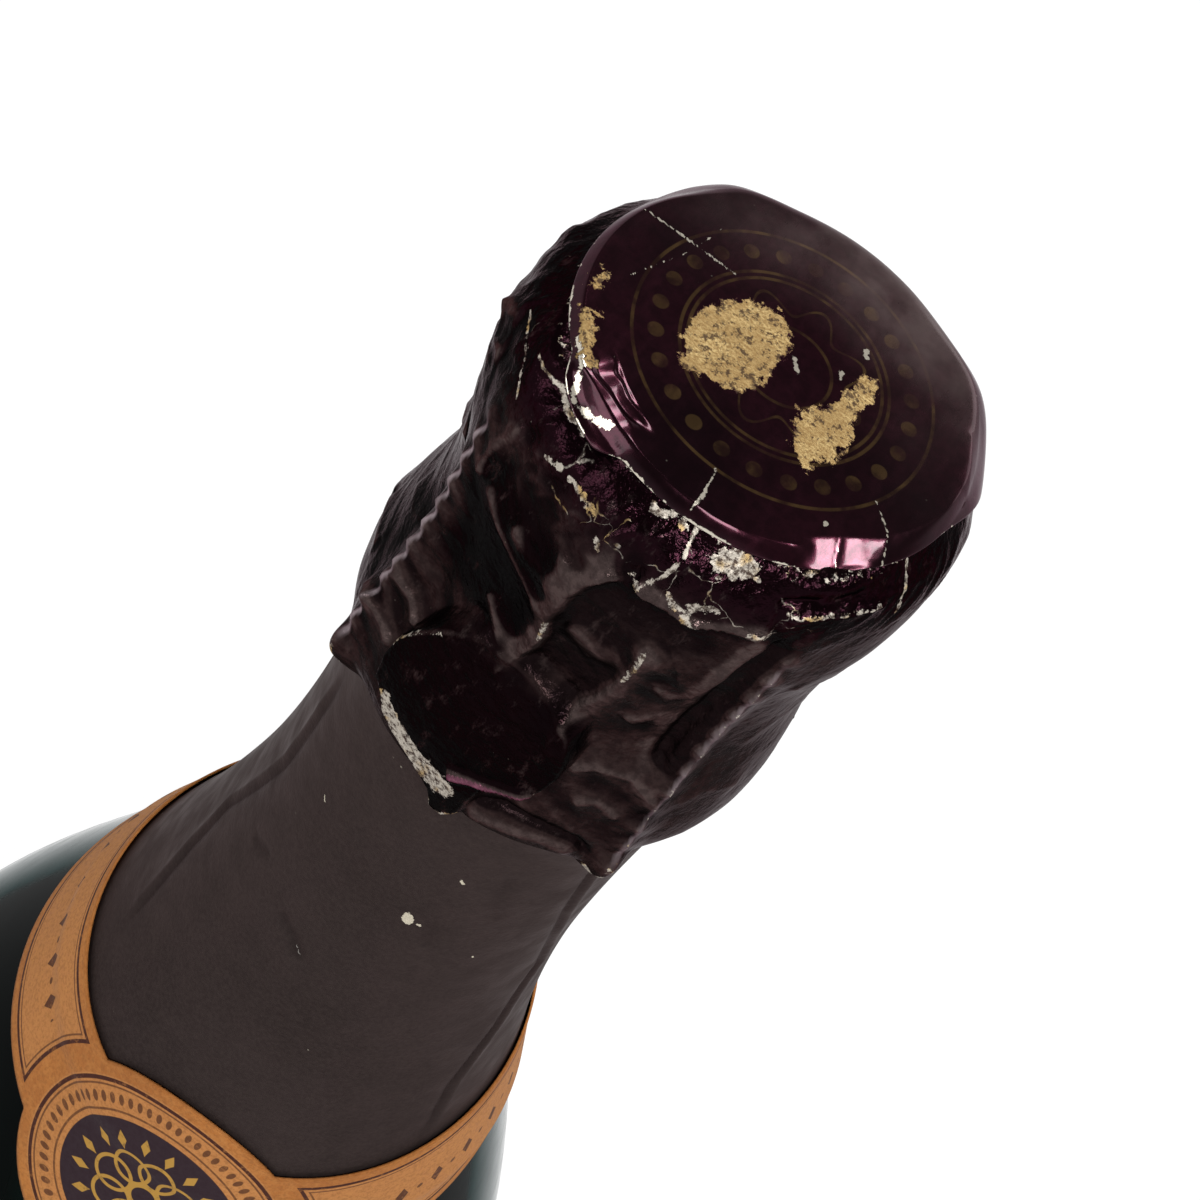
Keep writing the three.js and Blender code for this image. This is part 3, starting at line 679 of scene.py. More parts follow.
@dataclass(frozen=True)
class HoodFoilFinish:
    """Aubergine lacquered foil: purple crown, satin on the rest, worn on its folds; painted shade on the
    smooth faces and in the fold hollows, painted highlights on the crests, the leg crest lines and the key's
    lip.
    """

    purple: tuple = linear(27, 11, 17)
    # painted_lip_glint: painted highlight, the pink glint on the key pocket's lower lip.
    painted_lip_glint: tuple = linear(196, 96, 144)
    # smooth_face_shade: painted shade, a darker copy of the lacquer for the smooth faces.
    smooth_face_shade: tuple = linear(17, 8, 10)
    satin: tuple = linear(51, 39, 38)
    # Partly rubbed wear, partly painted highlight: the colour of the raised crests.
    rubbed: tuple = linear(82, 69, 67)
    # Painted shade in the hollows between folds; also used for dark random mottle.
    hollow: tuple = linear(13, 7, 9)
    metal: tuple = linear(186, 178, 166)
    backing: tuple = linear(176, 148, 100)
    grime: tuple = linear(70, 58, 52)
    # painted_crest_line: painted highlight, a pale line along the crests over the legs.
    painted_crest_line: tuple = linear(156, 142, 146)
    crack_cells: float = 300.0

    def make(self, name: str) -> bpy.types.Material:
        """Make the material, which reads the attributes wear, crackle, gloss_and_shade, crown,
        painted_crest_line and raised.

        Args:
            name: Name of the material.

        Returns:
            The material.
        """
        n = Nodes(name)
        cloud = n.math("MULTIPLY_ADD", n.noise(190, 4, 0.6), 1.1, -0.55)
        gloss_and_shade = n.span(n.plus(n.attribute("gloss_and_shade"), cloud), 0.15, 0.85)
        crown = n.attribute("crown")
        # Painted shade: the smooth faces take the darker copy of the lacquer.
        lacquer = n.blend(crown, n.blend(gloss_and_shade, self.satin, self.smooth_face_shade), self.purple)
        # Painted highlight: where crown rises to 2, on the key pocket's lower lip, the lacquer turns pink.
        lacquer = n.blend(n.span(crown, 1.0, 2.0), lacquer, self.painted_lip_glint)
        raised = n.plus(
            n.attribute("raised"), n.math("MULTIPLY_ADD", n.noise(500, 4, 0.6), 0.3, -0.15)
        )
        # Painted shade: darker where the foil lies below its neighbours, in fold hollows and between leg
        # teeth.
        lacquer = n.blend(n.span(raised, 0.05, 0.5, 0.8, 0.0), lacquer, self.hollow)
        # Partly rubbed wear, partly painted highlight: lighter on the raised crests.
        lacquer = n.blend(n.span(raised, 0.58, 1.0, 0.0, 0.75), lacquer, self.rubbed)
        lacquer = n.blend(n.span(n.noise(1300, 5, 0.7), 0.4, 0.62, 0.42, 0.0), lacquer, self.hollow)
        lacquer = n.blend(
            n.span(n.noise(900, 5, 0.75, (1.0, 1.0, 0.35)), 0.56, 0.74, 0.0, 0.3), lacquer, self.rubbed
        )
        # Painted highlight: a broken pale line along the crests over the legs.
        painted_crest_line = n.times(n.attribute("painted_crest_line"), n.span(n.noise(300, 3), 0.36, 0.6, 0.2, 0.9))
        lacquer = n.blend(painted_crest_line, lacquer, self.painted_crest_line)
        seam = n.cells(self.crack_cells, "DISTANCE_TO_EDGE", "Distance", n.warped(700, 0.0016))
        broken = n.ragged(n.attribute("crackle"), 420, 1.5, 0.08)
        seam = n.math("DIVIDE", seam, n.span(n.noise(600, 2), 0.35, 0.7, 0.25, 1.5))
        cracks = n.times(n.span(seam, 0.004, 0.022, 1.0, 0.0), broken)
        worn = n.most(n.ragged(n.attribute("wear"), 1700, 1.9, 0.06), n.times(cracks, 0.55))
        bare = n.blend(n.span(n.noise(700, 4), 0.5, 0.66), self.metal, self.backing)
        bare = n.blend(n.span(n.noise(2200, 5, 0.75), 0.4, 0.56), self.grime, bare)
        speck = n.span(n.cells(900), 0.0, 0.075, 1.0, 0.0)
        dusty = n.times(speck, n.span(n.noise(220, 2), 0.55, 0.66, 0.0, 0.4))
        colour = n.blend(n.most(worn, dusty), lacquer, bare)
        rough = n.number(crown, n.number(gloss_and_shade, 0.34, 0.24), 0.17)
        rough = n.plus(rough, n.math("MULTIPLY_ADD", n.noise(420, 4), 0.16, -0.08))
        wrinkle = n.plus(n.noise(420, 5, 0.6), n.times(n.noise(1700, 3), 0.3))
        metallic = n.number(crown, n.number(gloss_and_shade, 0.7, 0.8), 0.85)
        return n.shade(
            Base_Color=colour,
            Metallic=n.number(worn, metallic, 0.5),
            Roughness=n.number(worn, rough, 0.5),
            Specular_IOR_Level=0.025,
            Specular_Tint=(0.36, 0.29, 0.31, 1.0),
            Normal=n.bump(wrinkle, 0.00045, 0.6),
        )


@dataclass(frozen=True)
class BareFoilFinish:
    """Unlacquered inner face of a foil."""

    metal: tuple = linear(176, 172, 166)

    def make(self, name: str) -> bpy.types.Material:
        """Make the material."""
        n = Nodes(name)
        shade = n.blend(n.span(n.noise(260, 4), 0.3, 0.7), self.metal, linear(128, 124, 118))
        return n.shade(
            Base_Color=shade,
            Metallic=0.9,
            Roughness=n.span(n.noise(500, 3), 0.3, 0.7, 0.38, 0.52),
            Normal=n.bump(n.noise(380, 5, 0.6), 0.0003, 0.5),
        )


@dataclass(frozen=True)
class DiscFoilFinish:
    """Glossy aubergine foil with faint gold rings and dots, and torn patches down to the pale backing."""

    lacquer: tuple = linear(50, 20, 30)
    deep: tuple = linear(23, 10, 15)
    gold: tuple = linear(122, 96, 58)
    metal: tuple = linear(208, 200, 184)
    backing: tuple = linear(214, 186, 130)
    fibre: tuple = linear(150, 120, 76)
    stain: tuple = linear(58, 42, 38)
    # painted_sheen: painted reflection, a pale grey sheen over the back of the disc.
    painted_sheen: tuple = linear(92, 80, 78)
    rings: tuple = (3.1, 6.6, 7.1, 10.2)
    dots: int = 24
    dot_ring: float = 8.65
    dot_size: float = 0.55
    petals: int = 8
    line: float = 0.11

    def emblem(self, n: Nodes) -> Socket:
        """Printed lines: rings at given radii, a ring of dots and a rosette r = a + b cos(k angle).

        Args:
            n: Nodes of the material.

        Returns:
            Mask from 0 to 1.
        """
        split = n.add("ShaderNodeSeparateXYZ")
        n.feed(split.inputs[0], n.place())
        x, y = (n.times(split.outputs[i], 1 / MM) for i in (0, 1))
        radius = n.hypot(x, y)
        angle = n.math("ARCTAN2", y, x)
        petal = n.math("COSINE", n.times(angle, float(self.petals)))
        edge = n.math("ABSOLUTE", n.minus(radius, n.math("MULTIPLY_ADD", petal, 0.75, 4.85)))
        for ring in self.rings:
            edge = n.math("MINIMUM", edge, n.math("ABSOLUTE", n.minus(radius, ring)))
        step = 2 * math.pi / self.dots
        near = n.from_nearest(angle, step)
        across, out = n.times(near, self.dot_ring), n.minus(radius, self.dot_ring)
        dot = n.hypot(across, out)
        dots = n.span(dot, self.dot_size - 0.05, self.dot_size + 0.05, 1.0, 0.0)
        lines = n.span(edge, self.line - 0.03, self.line + 0.04, 1.0, 0.0)
        return n.most(lines, n.times(dots, 0.8))

    def make(self, name: str) -> bpy.types.Material:
        """Make the material, which reads the attributes wear, tear and haze_and_sheen.

        Args:
            name: Name of the material.

        Returns:
            The material.
        """
        n = Nodes(name)
        torn = n.ragged(n.attribute("tear"), 1300, 1.5, 0.05)
        worn = n.ragged(n.attribute("wear"), 1500, 1.7, 0.06)
        kept = n.span(n.noise(330, 4, 0.6), 0.42, 0.62, 0.1, 0.5)
        ground = n.blend(n.span(n.noise(75, 5, 0.6), 0.4, 0.68, 0.0, 0.75), self.lacquer, self.deep)
        ground = n.blend(n.span(n.noise(1100, 5, 0.7), 0.38, 0.6, 0.4, 0.0), ground, self.deep)
        lacquer = n.blend(n.times(self.emblem(n), kept), ground, self.gold)
        # Painted reflection: the back of the disc turns pale grey, and is also made rougher and less
        # metallic.
        haze_and_sheen = n.times(n.attribute("haze_and_sheen"), n.span(n.noise(120, 5, 0.6), 0.3, 0.7, 0.35, 1.0))
        lacquer = n.blend(haze_and_sheen, lacquer, self.painted_sheen)
        pulp = n.noise(3400, 6, 0.75, (1.0, 1.7, 1.0))
        paper = n.blend(n.span(pulp, 0.4, 0.62), self.fibre, self.backing)
        paper = n.blend(n.span(n.noise(420, 5, 0.7), 0.42, 0.62, 0.6, 0.0), paper, self.fibre)
        paper = n.blend(n.span(n.noise(1700, 5, 0.75), 0.4, 0.49, 0.85, 0.0), paper, self.stain)
        speck = n.span(n.cells(800), 0.0, 0.07, 1.0, 0.0)
        dust = n.times(speck, n.span(n.noise(150, 2), 0.5, 0.64, 0.0, 0.35))
        lacquer = n.blend(dust, lacquer, self.metal)
        colour = n.blend(torn, n.blend(worn, lacquer, self.metal), paper)
        scratch = n.noise(900, 4, 0.6, (1.0, 0.25, 1.0))
        rough = n.plus(n.span(scratch, 0.35, 0.75, 0.17, 0.27), n.times(haze_and_sheen, 0.25))
        ripple = n.bump(n.noise(230, 4, 0.5), 0.00028, 0.3)
        normal = n.bump(n.times(torn, pulp), 0.0002, 0.8, ripple)
        metallic = n.number(worn, n.number(haze_and_sheen, 0.85, 0.2), 0.7)
        return n.shade(
            Base_Color=colour,
            Metallic=n.number(torn, metallic, 0.0),
            Roughness=n.number(torn, rough, 0.85),
            Specular_IOR_Level=0.1,
            Specular_Tint=(0.55, 0.44, 0.48, 1.0),
            Coat_Weight=n.math("MULTIPLY_ADD", torn, -0.15, 0.15),
            Coat_Roughness=0.08,
            Normal=normal,
        )


@dataclass(frozen=True)
class NeckFoilFinish:
    """Brown-grey satin foil with fine grain, scuffs and a few pale chips."""

    base: tuple = linear(52, 44, 43)
    dark: tuple = linear(45, 38, 37)
    light: tuple = linear(70, 61, 58)
    shadow: tuple = linear(26, 21, 21)
    chip: tuple = linear(206, 198, 178)

    def make(self, name: str) -> bpy.types.Material:
        """Make the material, which reads the attributes chip and crease.

        Args:
            name: Name of the material.

        Returns:
            The material.
        """
        n = Nodes(name)
        cloud = n.blend(n.span(n.noise(55, 5, 0.6), 0.3, 0.7), self.dark, self.base)
        grain = n.span(n.noise(2400, 3, 0.6), 0.25, 0.75, 0.0, 0.35)
        colour = n.blend(grain, cloud, self.light)
        colour = n.blend(n.times(n.attribute("crease"), 0.65), colour, self.shadow)
        speck = n.span(n.cells(420), 0.0, 0.06, 1.0, 0.0)
        speck = n.times(speck, n.span(n.noise(130, 2), 0.6, 0.68))
        chip = n.most(n.ragged(n.attribute("chip"), 1400, 0.8, 0.04), n.times(speck, 0.7))
        colour = n.blend(chip, colour, self.chip)
        fine = n.bump(n.noise(3000, 2), 0.00004, 0.5)
        normal = n.bump(n.noise(170, 5, 0.6), 0.00028, 0.5, fine)
        return n.shade(
            Base_Color=colour,
            Metallic=0.5,
            Roughness=n.span(n.noise(300, 4), 0.3, 0.7, 0.42, 0.56),
            Specular_IOR_Level=0.03,
            Specular_Tint=(0.5, 0.42, 0.42, 1.0),
            Normal=normal,
        )


@dataclass(frozen=True)
class LabelFinish:
    """Ochre paper printed in dark brown: framed bands with lozenges, a medallion with a gold rosette."""

    paper: tuple = linear(176, 110, 52)
    faded: tuple = linear(160, 97, 46)
    field_tone: tuple = linear(184, 124, 72)
    grain: tuple = linear(112, 68, 36)
    ink: tuple = linear(66, 34, 26)
    disc: tuple = linear(46, 32, 38)
    gold: tuple = linear(176, 134, 62)
    medallion: float = 15.5
    disc_radius: float = 9.6
    beads: int = 60

    def stroke(self, n: Nodes, value: Socket, middle: float, half: float) -> Socket:
        """A line where a value lies within half of middle."""
        away = n.math("ABSOLUTE", n.minus(value, middle))
        return n.span(away, half - 0.03, half + 0.05, 1.0, 0.0)

    def marks(self, n: Nodes, x: Socket, y: Socket, radius: Socket, edge: Socket, middle: Socket) -> Socket:
        """Dark print: double frame lines a fixed way inside the bands' edges, rings, beads and lozenges.

        Args:
            n: Nodes of the material.
            x: Millimetres along the label from the medallion's middle.
            y: Millimetres up from the medallion's middle.
            radius: Distance from the medallion's middle.
            edge: Distance from the label's nearest edge.
            middle: Height over the band's middle line.

        Returns:
            Mask from 0 to 1.
        """
        panel = n.math("MINIMUM", edge, n.minus(radius, self.medallion))
        frame_lines = n.most(
            self.stroke(n, panel, 1.5, 0.2),
            n.times(self.stroke(n, panel, 2.15, 0.09), 0.75)
        )
        round_lines = self.stroke(n, radius, 13.6, 0.22)
        for at, half in ((13.0, 0.1), (10.35, 0.12)):
            round_lines = n.most(round_lines, n.times(self.stroke(n, radius, at, half), 0.75))
        angle = n.math("ARCTAN2", y, x)
        step = 2 * math.pi / self.beads
        near = n.from_nearest(angle, step)
        across, out = n.times(near, 11.7), n.times(n.minus(radius, 11.7), 0.55)
        bead = n.hypot(across, out)
        beads = n.span(bead, 0.3, 0.38, 0.8, 0.0)
        pitch = 4.2
        along = n.math("ABSOLUTE", n.from_nearest(x, pitch))
        tall = n.math("ABSOLUTE", middle)
        lozenge = n.plus(n.math("DIVIDE", along, 0.75), n.math("DIVIDE", tall, 1.35))
        lozenges = n.span(lozenge, 0.94, 1.06, 0.9, 0.0)
        half_pitch = n.minus(pitch / 2, along)
        dot = n.hypot(half_pitch, tall)
        lozenges = n.most(lozenges, n.span(dot, 0.3, 0.38, 0.8, 0.0))
        lozenges = n.times(lozenges, n.span(n.minus(radius, self.medallion), 7.5, 7.6))
        inside = n.span(radius, self.medallion - 0.05, self.medallion + 0.05, 1.0, 0.0)
        bands = n.most(frame_lines, lozenges)
        rounds = n.most(round_lines, beads)
        return n.number(inside, bands, rounds)

    def rosette(self, n: Nodes, x: Socket, y: Socket, radius: Socket) -> Socket:
        """Gold print on the medallion's disc: interlaced rings round a middle, and a ring of leaves.

        Args:
            n: Nodes of the material.
            x: Millimetres along the label from the medallion's middle.
            y: Millimetres up from the medallion's middle.
            radius: Distance from the medallion's middle.

        Returns:
            Mask from 0 to 1.
        """
        angle = n.math("ARCTAN2", y, x)
        step = 2 * math.pi / 8
        near = n.from_nearest(angle, step)
        lines = self.stroke(n, radius, 1.5, 0.22)
        for shift in (-step, 0.0, step):
            turned = n.plus(near, shift)
            across = n.times(radius, n.math("SINE", turned))
            out = n.minus(n.times(radius, n.math("COSINE", turned)), 3.7)
            ring = n.hypot(across, out)
            lines = n.most(lines, self.stroke(n, ring, 2.0, 0.2))
        leaf_step = 2 * math.pi / 16
        leaf = n.from_nearest(angle, leaf_step)
        leaf_across = n.math("DIVIDE", n.math("ABSOLUTE", n.times(leaf, 7.2)), 0.55)
        leaf_out = n.math("DIVIDE", n.math("ABSOLUTE", n.minus(radius, 7.2)), 1.1)
        leaves = n.span(n.plus(leaf_across, leaf_out), 0.92, 1.08, 1.0, 0.0)
        return n.most(lines, leaves)

    def make(self, name: str) -> bpy.types.Material:
        """Make the material, which reads the UV maps print and band.

        Args:
            name: Name of the material.

        Returns:
            The material.
        """
        n = Nodes(name)
        x, y = n.map_axes("print")
        edge, middle = n.map_axes("band")
        radius = n.hypot(x, y)
        fibre = n.noise(1500, 5, 0.7)
        paper = n.blend(n.span(n.noise(90, 5, 0.6), 0.3, 0.7), self.faded, self.paper)
        inner = n.math("MINIMUM", edge, n.math("ABSOLUTE", n.minus(radius, self.medallion)))
        paper = n.blend(n.span(inner, 1.4, 1.6, 0.0, 0.75), paper, self.field_tone)
        paper = n.blend(n.span(fibre, 0.3, 0.72, 0.0, 0.3), paper, linear(206, 150, 92))
        paper = n.blend(n.span(n.noise(2600, 4, 0.7), 0.36, 0.56, 0.35, 0.0), paper, self.grain)
        rubbed = n.span(n.noise(1100, 5, 0.7), 0.3, 0.48, 0.55, 1.0)
        colour = n.blend(n.times(self.marks(n, x, y, radius, edge, middle), rubbed), paper, self.ink)
        dark = n.span(radius, self.disc_radius - 0.05, self.disc_radius + 0.05, 1.0, 0.0)
        foil = n.times(self.rosette(n, x, y, radius), rubbed)
        colour = n.blend(dark, colour, n.blend(foil, self.disc, self.gold))
        soiled = n.times(n.span(edge, 0.0, 0.5, 1.0, 0.0), 0.35)
        colour = n.blend(soiled, colour, linear(120, 74, 38))
        return n.shade(
            Base_Color=colour,
            Roughness=n.span(fibre, 0.3, 0.7, 0.62, 0.8),
            Specular_IOR_Level=0.1,
            Normal=n.bump(fibre, 0.00006, 0.6),
        )


@dataclass(frozen=True)
class DarkGlassFinish:
    """Thick blue-green bottle glass, almost black where it is deep."""

    deep: tuple = linear(21, 28, 27)
    lit: tuple = linear(25, 33, 32)

    def make(self, name: str) -> bpy.types.Material:
        """Make the material."""
        n = Nodes(name)
        colour = n.blend(n.span(n.noise(28, 3), 0.3, 0.7), self.deep, self.lit)
        ripple = n.noise(45, 3, 0.5, (1.0, 1.0, 0.5))
        return n.shade(
            Base_Color=colour,
            Metallic=0.85,
            Roughness=n.span(n.noise(350, 4, 0.6), 0.3, 0.75, 0.05, 0.14),
            Specular_IOR_Level=0.08,
            Specular_Tint=(0.16, 0.2, 0.2, 1.0),
            Normal=n.bump(ripple, 0.0006, 0.25),
        )


@dataclass(frozen=True)
class CorkFinish:
    """Cork: pressed granules, or a natural slice with dark pores."""

    pale: tuple = linear(203, 160, 108)
    tan: tuple = linear(170, 120, 72)
    brown: tuple = linear(92, 58, 34)
    grain: float = 620.0
    pores: float = 0.12

    def make(self, name: str) -> bpy.types.Material:
        """Make the material.

        Args:
            name: Name of the material.

        Returns:
            The material.
        """
        n = Nodes(name)
        granule = n.cells(self.grain, "F1", "Color")
        tone = n.add("ShaderNodeSeparateColor")
        n.feed(tone.inputs[0], granule)
        colour = n.blend(n.span(tone.outputs[0], 0.1, 0.9), self.tan, self.pale)
        seam = n.cells(self.grain, "DISTANCE_TO_EDGE")
        gap = n.span(seam, 0.0, self.pores, 1.0, 0.0)
        pore = n.most(gap, n.span(n.noise(900, 4, 0.7), 0.6, 0.72))
        colour = n.blend(n.times(pore, 0.8), colour, self.brown)
        height = n.minus(n.times(n.noise(1200, 3), 0.3), pore)
        return n.shade(
            Base_Color=colour,
            Roughness=n.span(tone.outputs[1], 0.0, 1.0, 0.72, 0.9),
            Specular_IOR_Level=0.25,
            Normal=n.bump(height, 0.00025, 0.7),
        )


@dataclass(frozen=True)
class WireFinish:
    """Drawn galvanised wire with fine lengthwise streaks."""

    bright: tuple = linear(188, 188, 184)
    dull: tuple = linear(128, 128, 126)

    def make(self, name: str) -> bpy.types.Material:
        """Make the material."""
        n = Nodes(name)
        colour = n.blend(n.span(n.noise(900, 4, 0.65), 0.3, 0.7), self.dull, self.bright)
        return n.shade(
            Base_Color=colour,
            Metallic=1.0,
            Roughness=n.span(n.noise(1400, 3), 0.3, 0.7, 0.26, 0.44),
            Normal=n.bump(n.noise(2600, 3), 0.00005, 0.5),
        )


@dataclass(frozen=True)
class CapPlateFinish:
    """Lacquered tinplate with fine scratches and a bright rubbed edge."""

    lacquer: tuple = linear(74, 48, 60)
    rubbed: tuple = linear(176, 170, 160)

    def make(self, name: str) -> bpy.types.Material:
        """Make the material, which reads the attribute wear."""
        n = Nodes(name)
        worn = n.ragged(n.attribute("wear"), 1200, 0.6)
        streak = n.noise(700, 4, 0.7, (1.0, 0.2, 1.0))
        colour = n.blend(n.span(streak, 0.55, 0.75, 0.0, 0.3), self.lacquer, linear(110, 84, 92))
        return n.shade(
            Base_Color=n.blend(worn, colour, self.rubbed),
            Metallic=0.85,
            Roughness=n.span(streak, 0.3, 0.7, 0.24, 0.4),
            Coat_Weight=0.3,
            Coat_Roughness=0.1,
            Normal=n.bump(streak, 0.00008, 0.4),
        )


@dataclass
class GlassBottle:
    """The glass: body, shoulder, neck, finish and punt."""

    height: float = 300.0
    body_radius: float = 44.0
    neck_radius: float = 13.95
    neck_length: float = 28.0
    shoulder_length: float = 140.0
    shoulder_lag: float = 1.15
    glass_wall: float = 4.8
    base_thickness: float = 8.0
    heel_round: float = 9.0
    base_ring_width: float = 4.0
    punt_depth: float = 34.0
    neck_bore: float = 9.5
    mouth_bore: float = 9.0
    mouth_length: float = 25.0
    bead_radius: float = 14.0
    bead_height: float = 4.4
    ring_radius: float = 14.6
    ring_height: float = 3.4
    ring_drop: float = 8.3
    finish_round: float = 1.0
    sides: int = 160

    @property
    def neck_base(self) -> float:
        """Height where the shoulder ends and the neck starts."""
        return self.height - self.neck_length

    @property
    def ring_top(self) -> float:
        """Upper level of the ring that the cage hooks under."""
        return self.height - self.ring_drop

    @property
    def ring_bottom(self) -> float:
        """Lower level of that ring."""
        return self.ring_top - self.ring_height

    @property
    def bead_bottom(self) -> float:
        """Lower level of the bead at the lip."""
        return self.height - self.bead_height

    def radius(self, z: Array) -> Array:
        """Outer radius: neck + (body - neck) smoothstep(u^lag), with u the share of the shoulder's fall.

        Args:
            z: Heights.

        Returns:
            Radii.
        """
        down = np.clip((self.neck_base - np.asarray(z, float)) / self.shoulder_length, 0.0, 1.0)
        return self.neck_radius + (self.body_radius - self.neck_radius) * smoothstep(
            0, 1, down**self.shoulder_lag
        )

    @staticmethod
    def round_corner(start: tuple, end: tuple, count: int) -> Array:
        """Quarter round from start, which it leaves level, to end, where it is upright."""
        angle = np.linspace(0, np.pi / 2, count)
        r = start[0] + (end[0] - start[0]) * np.sin(angle)
        return np.stack([r, start[1] + (end[1] - start[1]) * (1 - np.cos(angle))], axis=1)

    def profile(self) -> Array:
        """Closed outline from the punt's middle round the outside, over the lip and down the inside.

        Returns:
            Radii and heights, one per row.
        """
        stand = self.body_radius - self.heel_round
        punt = stand - self.base_ring_width
        inner = self.body_radius - self.glass_wall
        u = np.linspace(0, 1, 40)[:, None]
        dome = np.hstack([u * punt, self.punt_depth * np.cos(np.pi / 2 * u)])
        dome[-1] = (punt, 0.0)
        z = np.linspace(self.neck_base - self.shoulder_length, self.neck_base, 90)
        f, lip = self.finish_round, self.height
        bead, ring = self.bead_radius, self.ring_radius
        bore_top = lip - self.mouth_length
        finish = np.array([
            (self.neck_radius, self.ring_bottom - f - 0.4), (self.neck_radius + 0.15, self.ring_bottom - f),
            (ring - 0.25, self.ring_bottom), (ring, self.ring_bottom + 0.4), (ring, self.ring_top - f),
            (ring - 0.25, self.ring_top - 0.5 * f), (bead - f + 0.3, self.ring_top),
            (bead - f, self.ring_top + 0.4),
            (bead - f, self.bead_bottom), (bead - 0.25, self.bead_bottom + 0.5 * f),
            (bead, self.bead_bottom + f),
            (bead, lip - f), (bead - 0.3 * f, lip - 0.3 * f), (bead - f, lip),
            (self.mouth_bore + f, lip), (self.mouth_bore + 0.3 * f, lip - 0.3 * f),
            (self.mouth_bore, lip - f),
            (self.mouth_bore, bore_top), (self.neck_bore, bore_top - f),
        ])
        down = z[-2::-1]
        return np.vstack([
            dome,
            self.round_corner((stand, 0.0), (self.body_radius, self.heel_round), 14),
            np.stack([self.radius(z), z], axis=1),
            finish,
            np.stack([np.maximum(self.neck_bore, self.radius(down) - self.glass_wall), down], axis=1),
            self.round_corner(
                (punt, self.base_thickness), (inner, self.base_thickness + self.heel_round), 12
            )[::-1],
            (dome + (0.0, self.base_thickness))[-2::-1],
        ])

    def build(self) -> list[bpy.types.Object]:
        """Turn the outline about the axis and dress it as dark glass."""
        outline = self.profile()
        azimuth = np.linspace(0, 360, self.sides, endpoint=False)
        grid = polar(outline[:, :1], azimuth[None], outline[:, 1:])
        glass = DarkGlassFinish().make("dark_glass")
        surface = Surface(grid, close_columns=True)
        return [surface.make("glass_bottle", Body.BOTTLE, "bottle_glass", "dark_glass", [glass])]


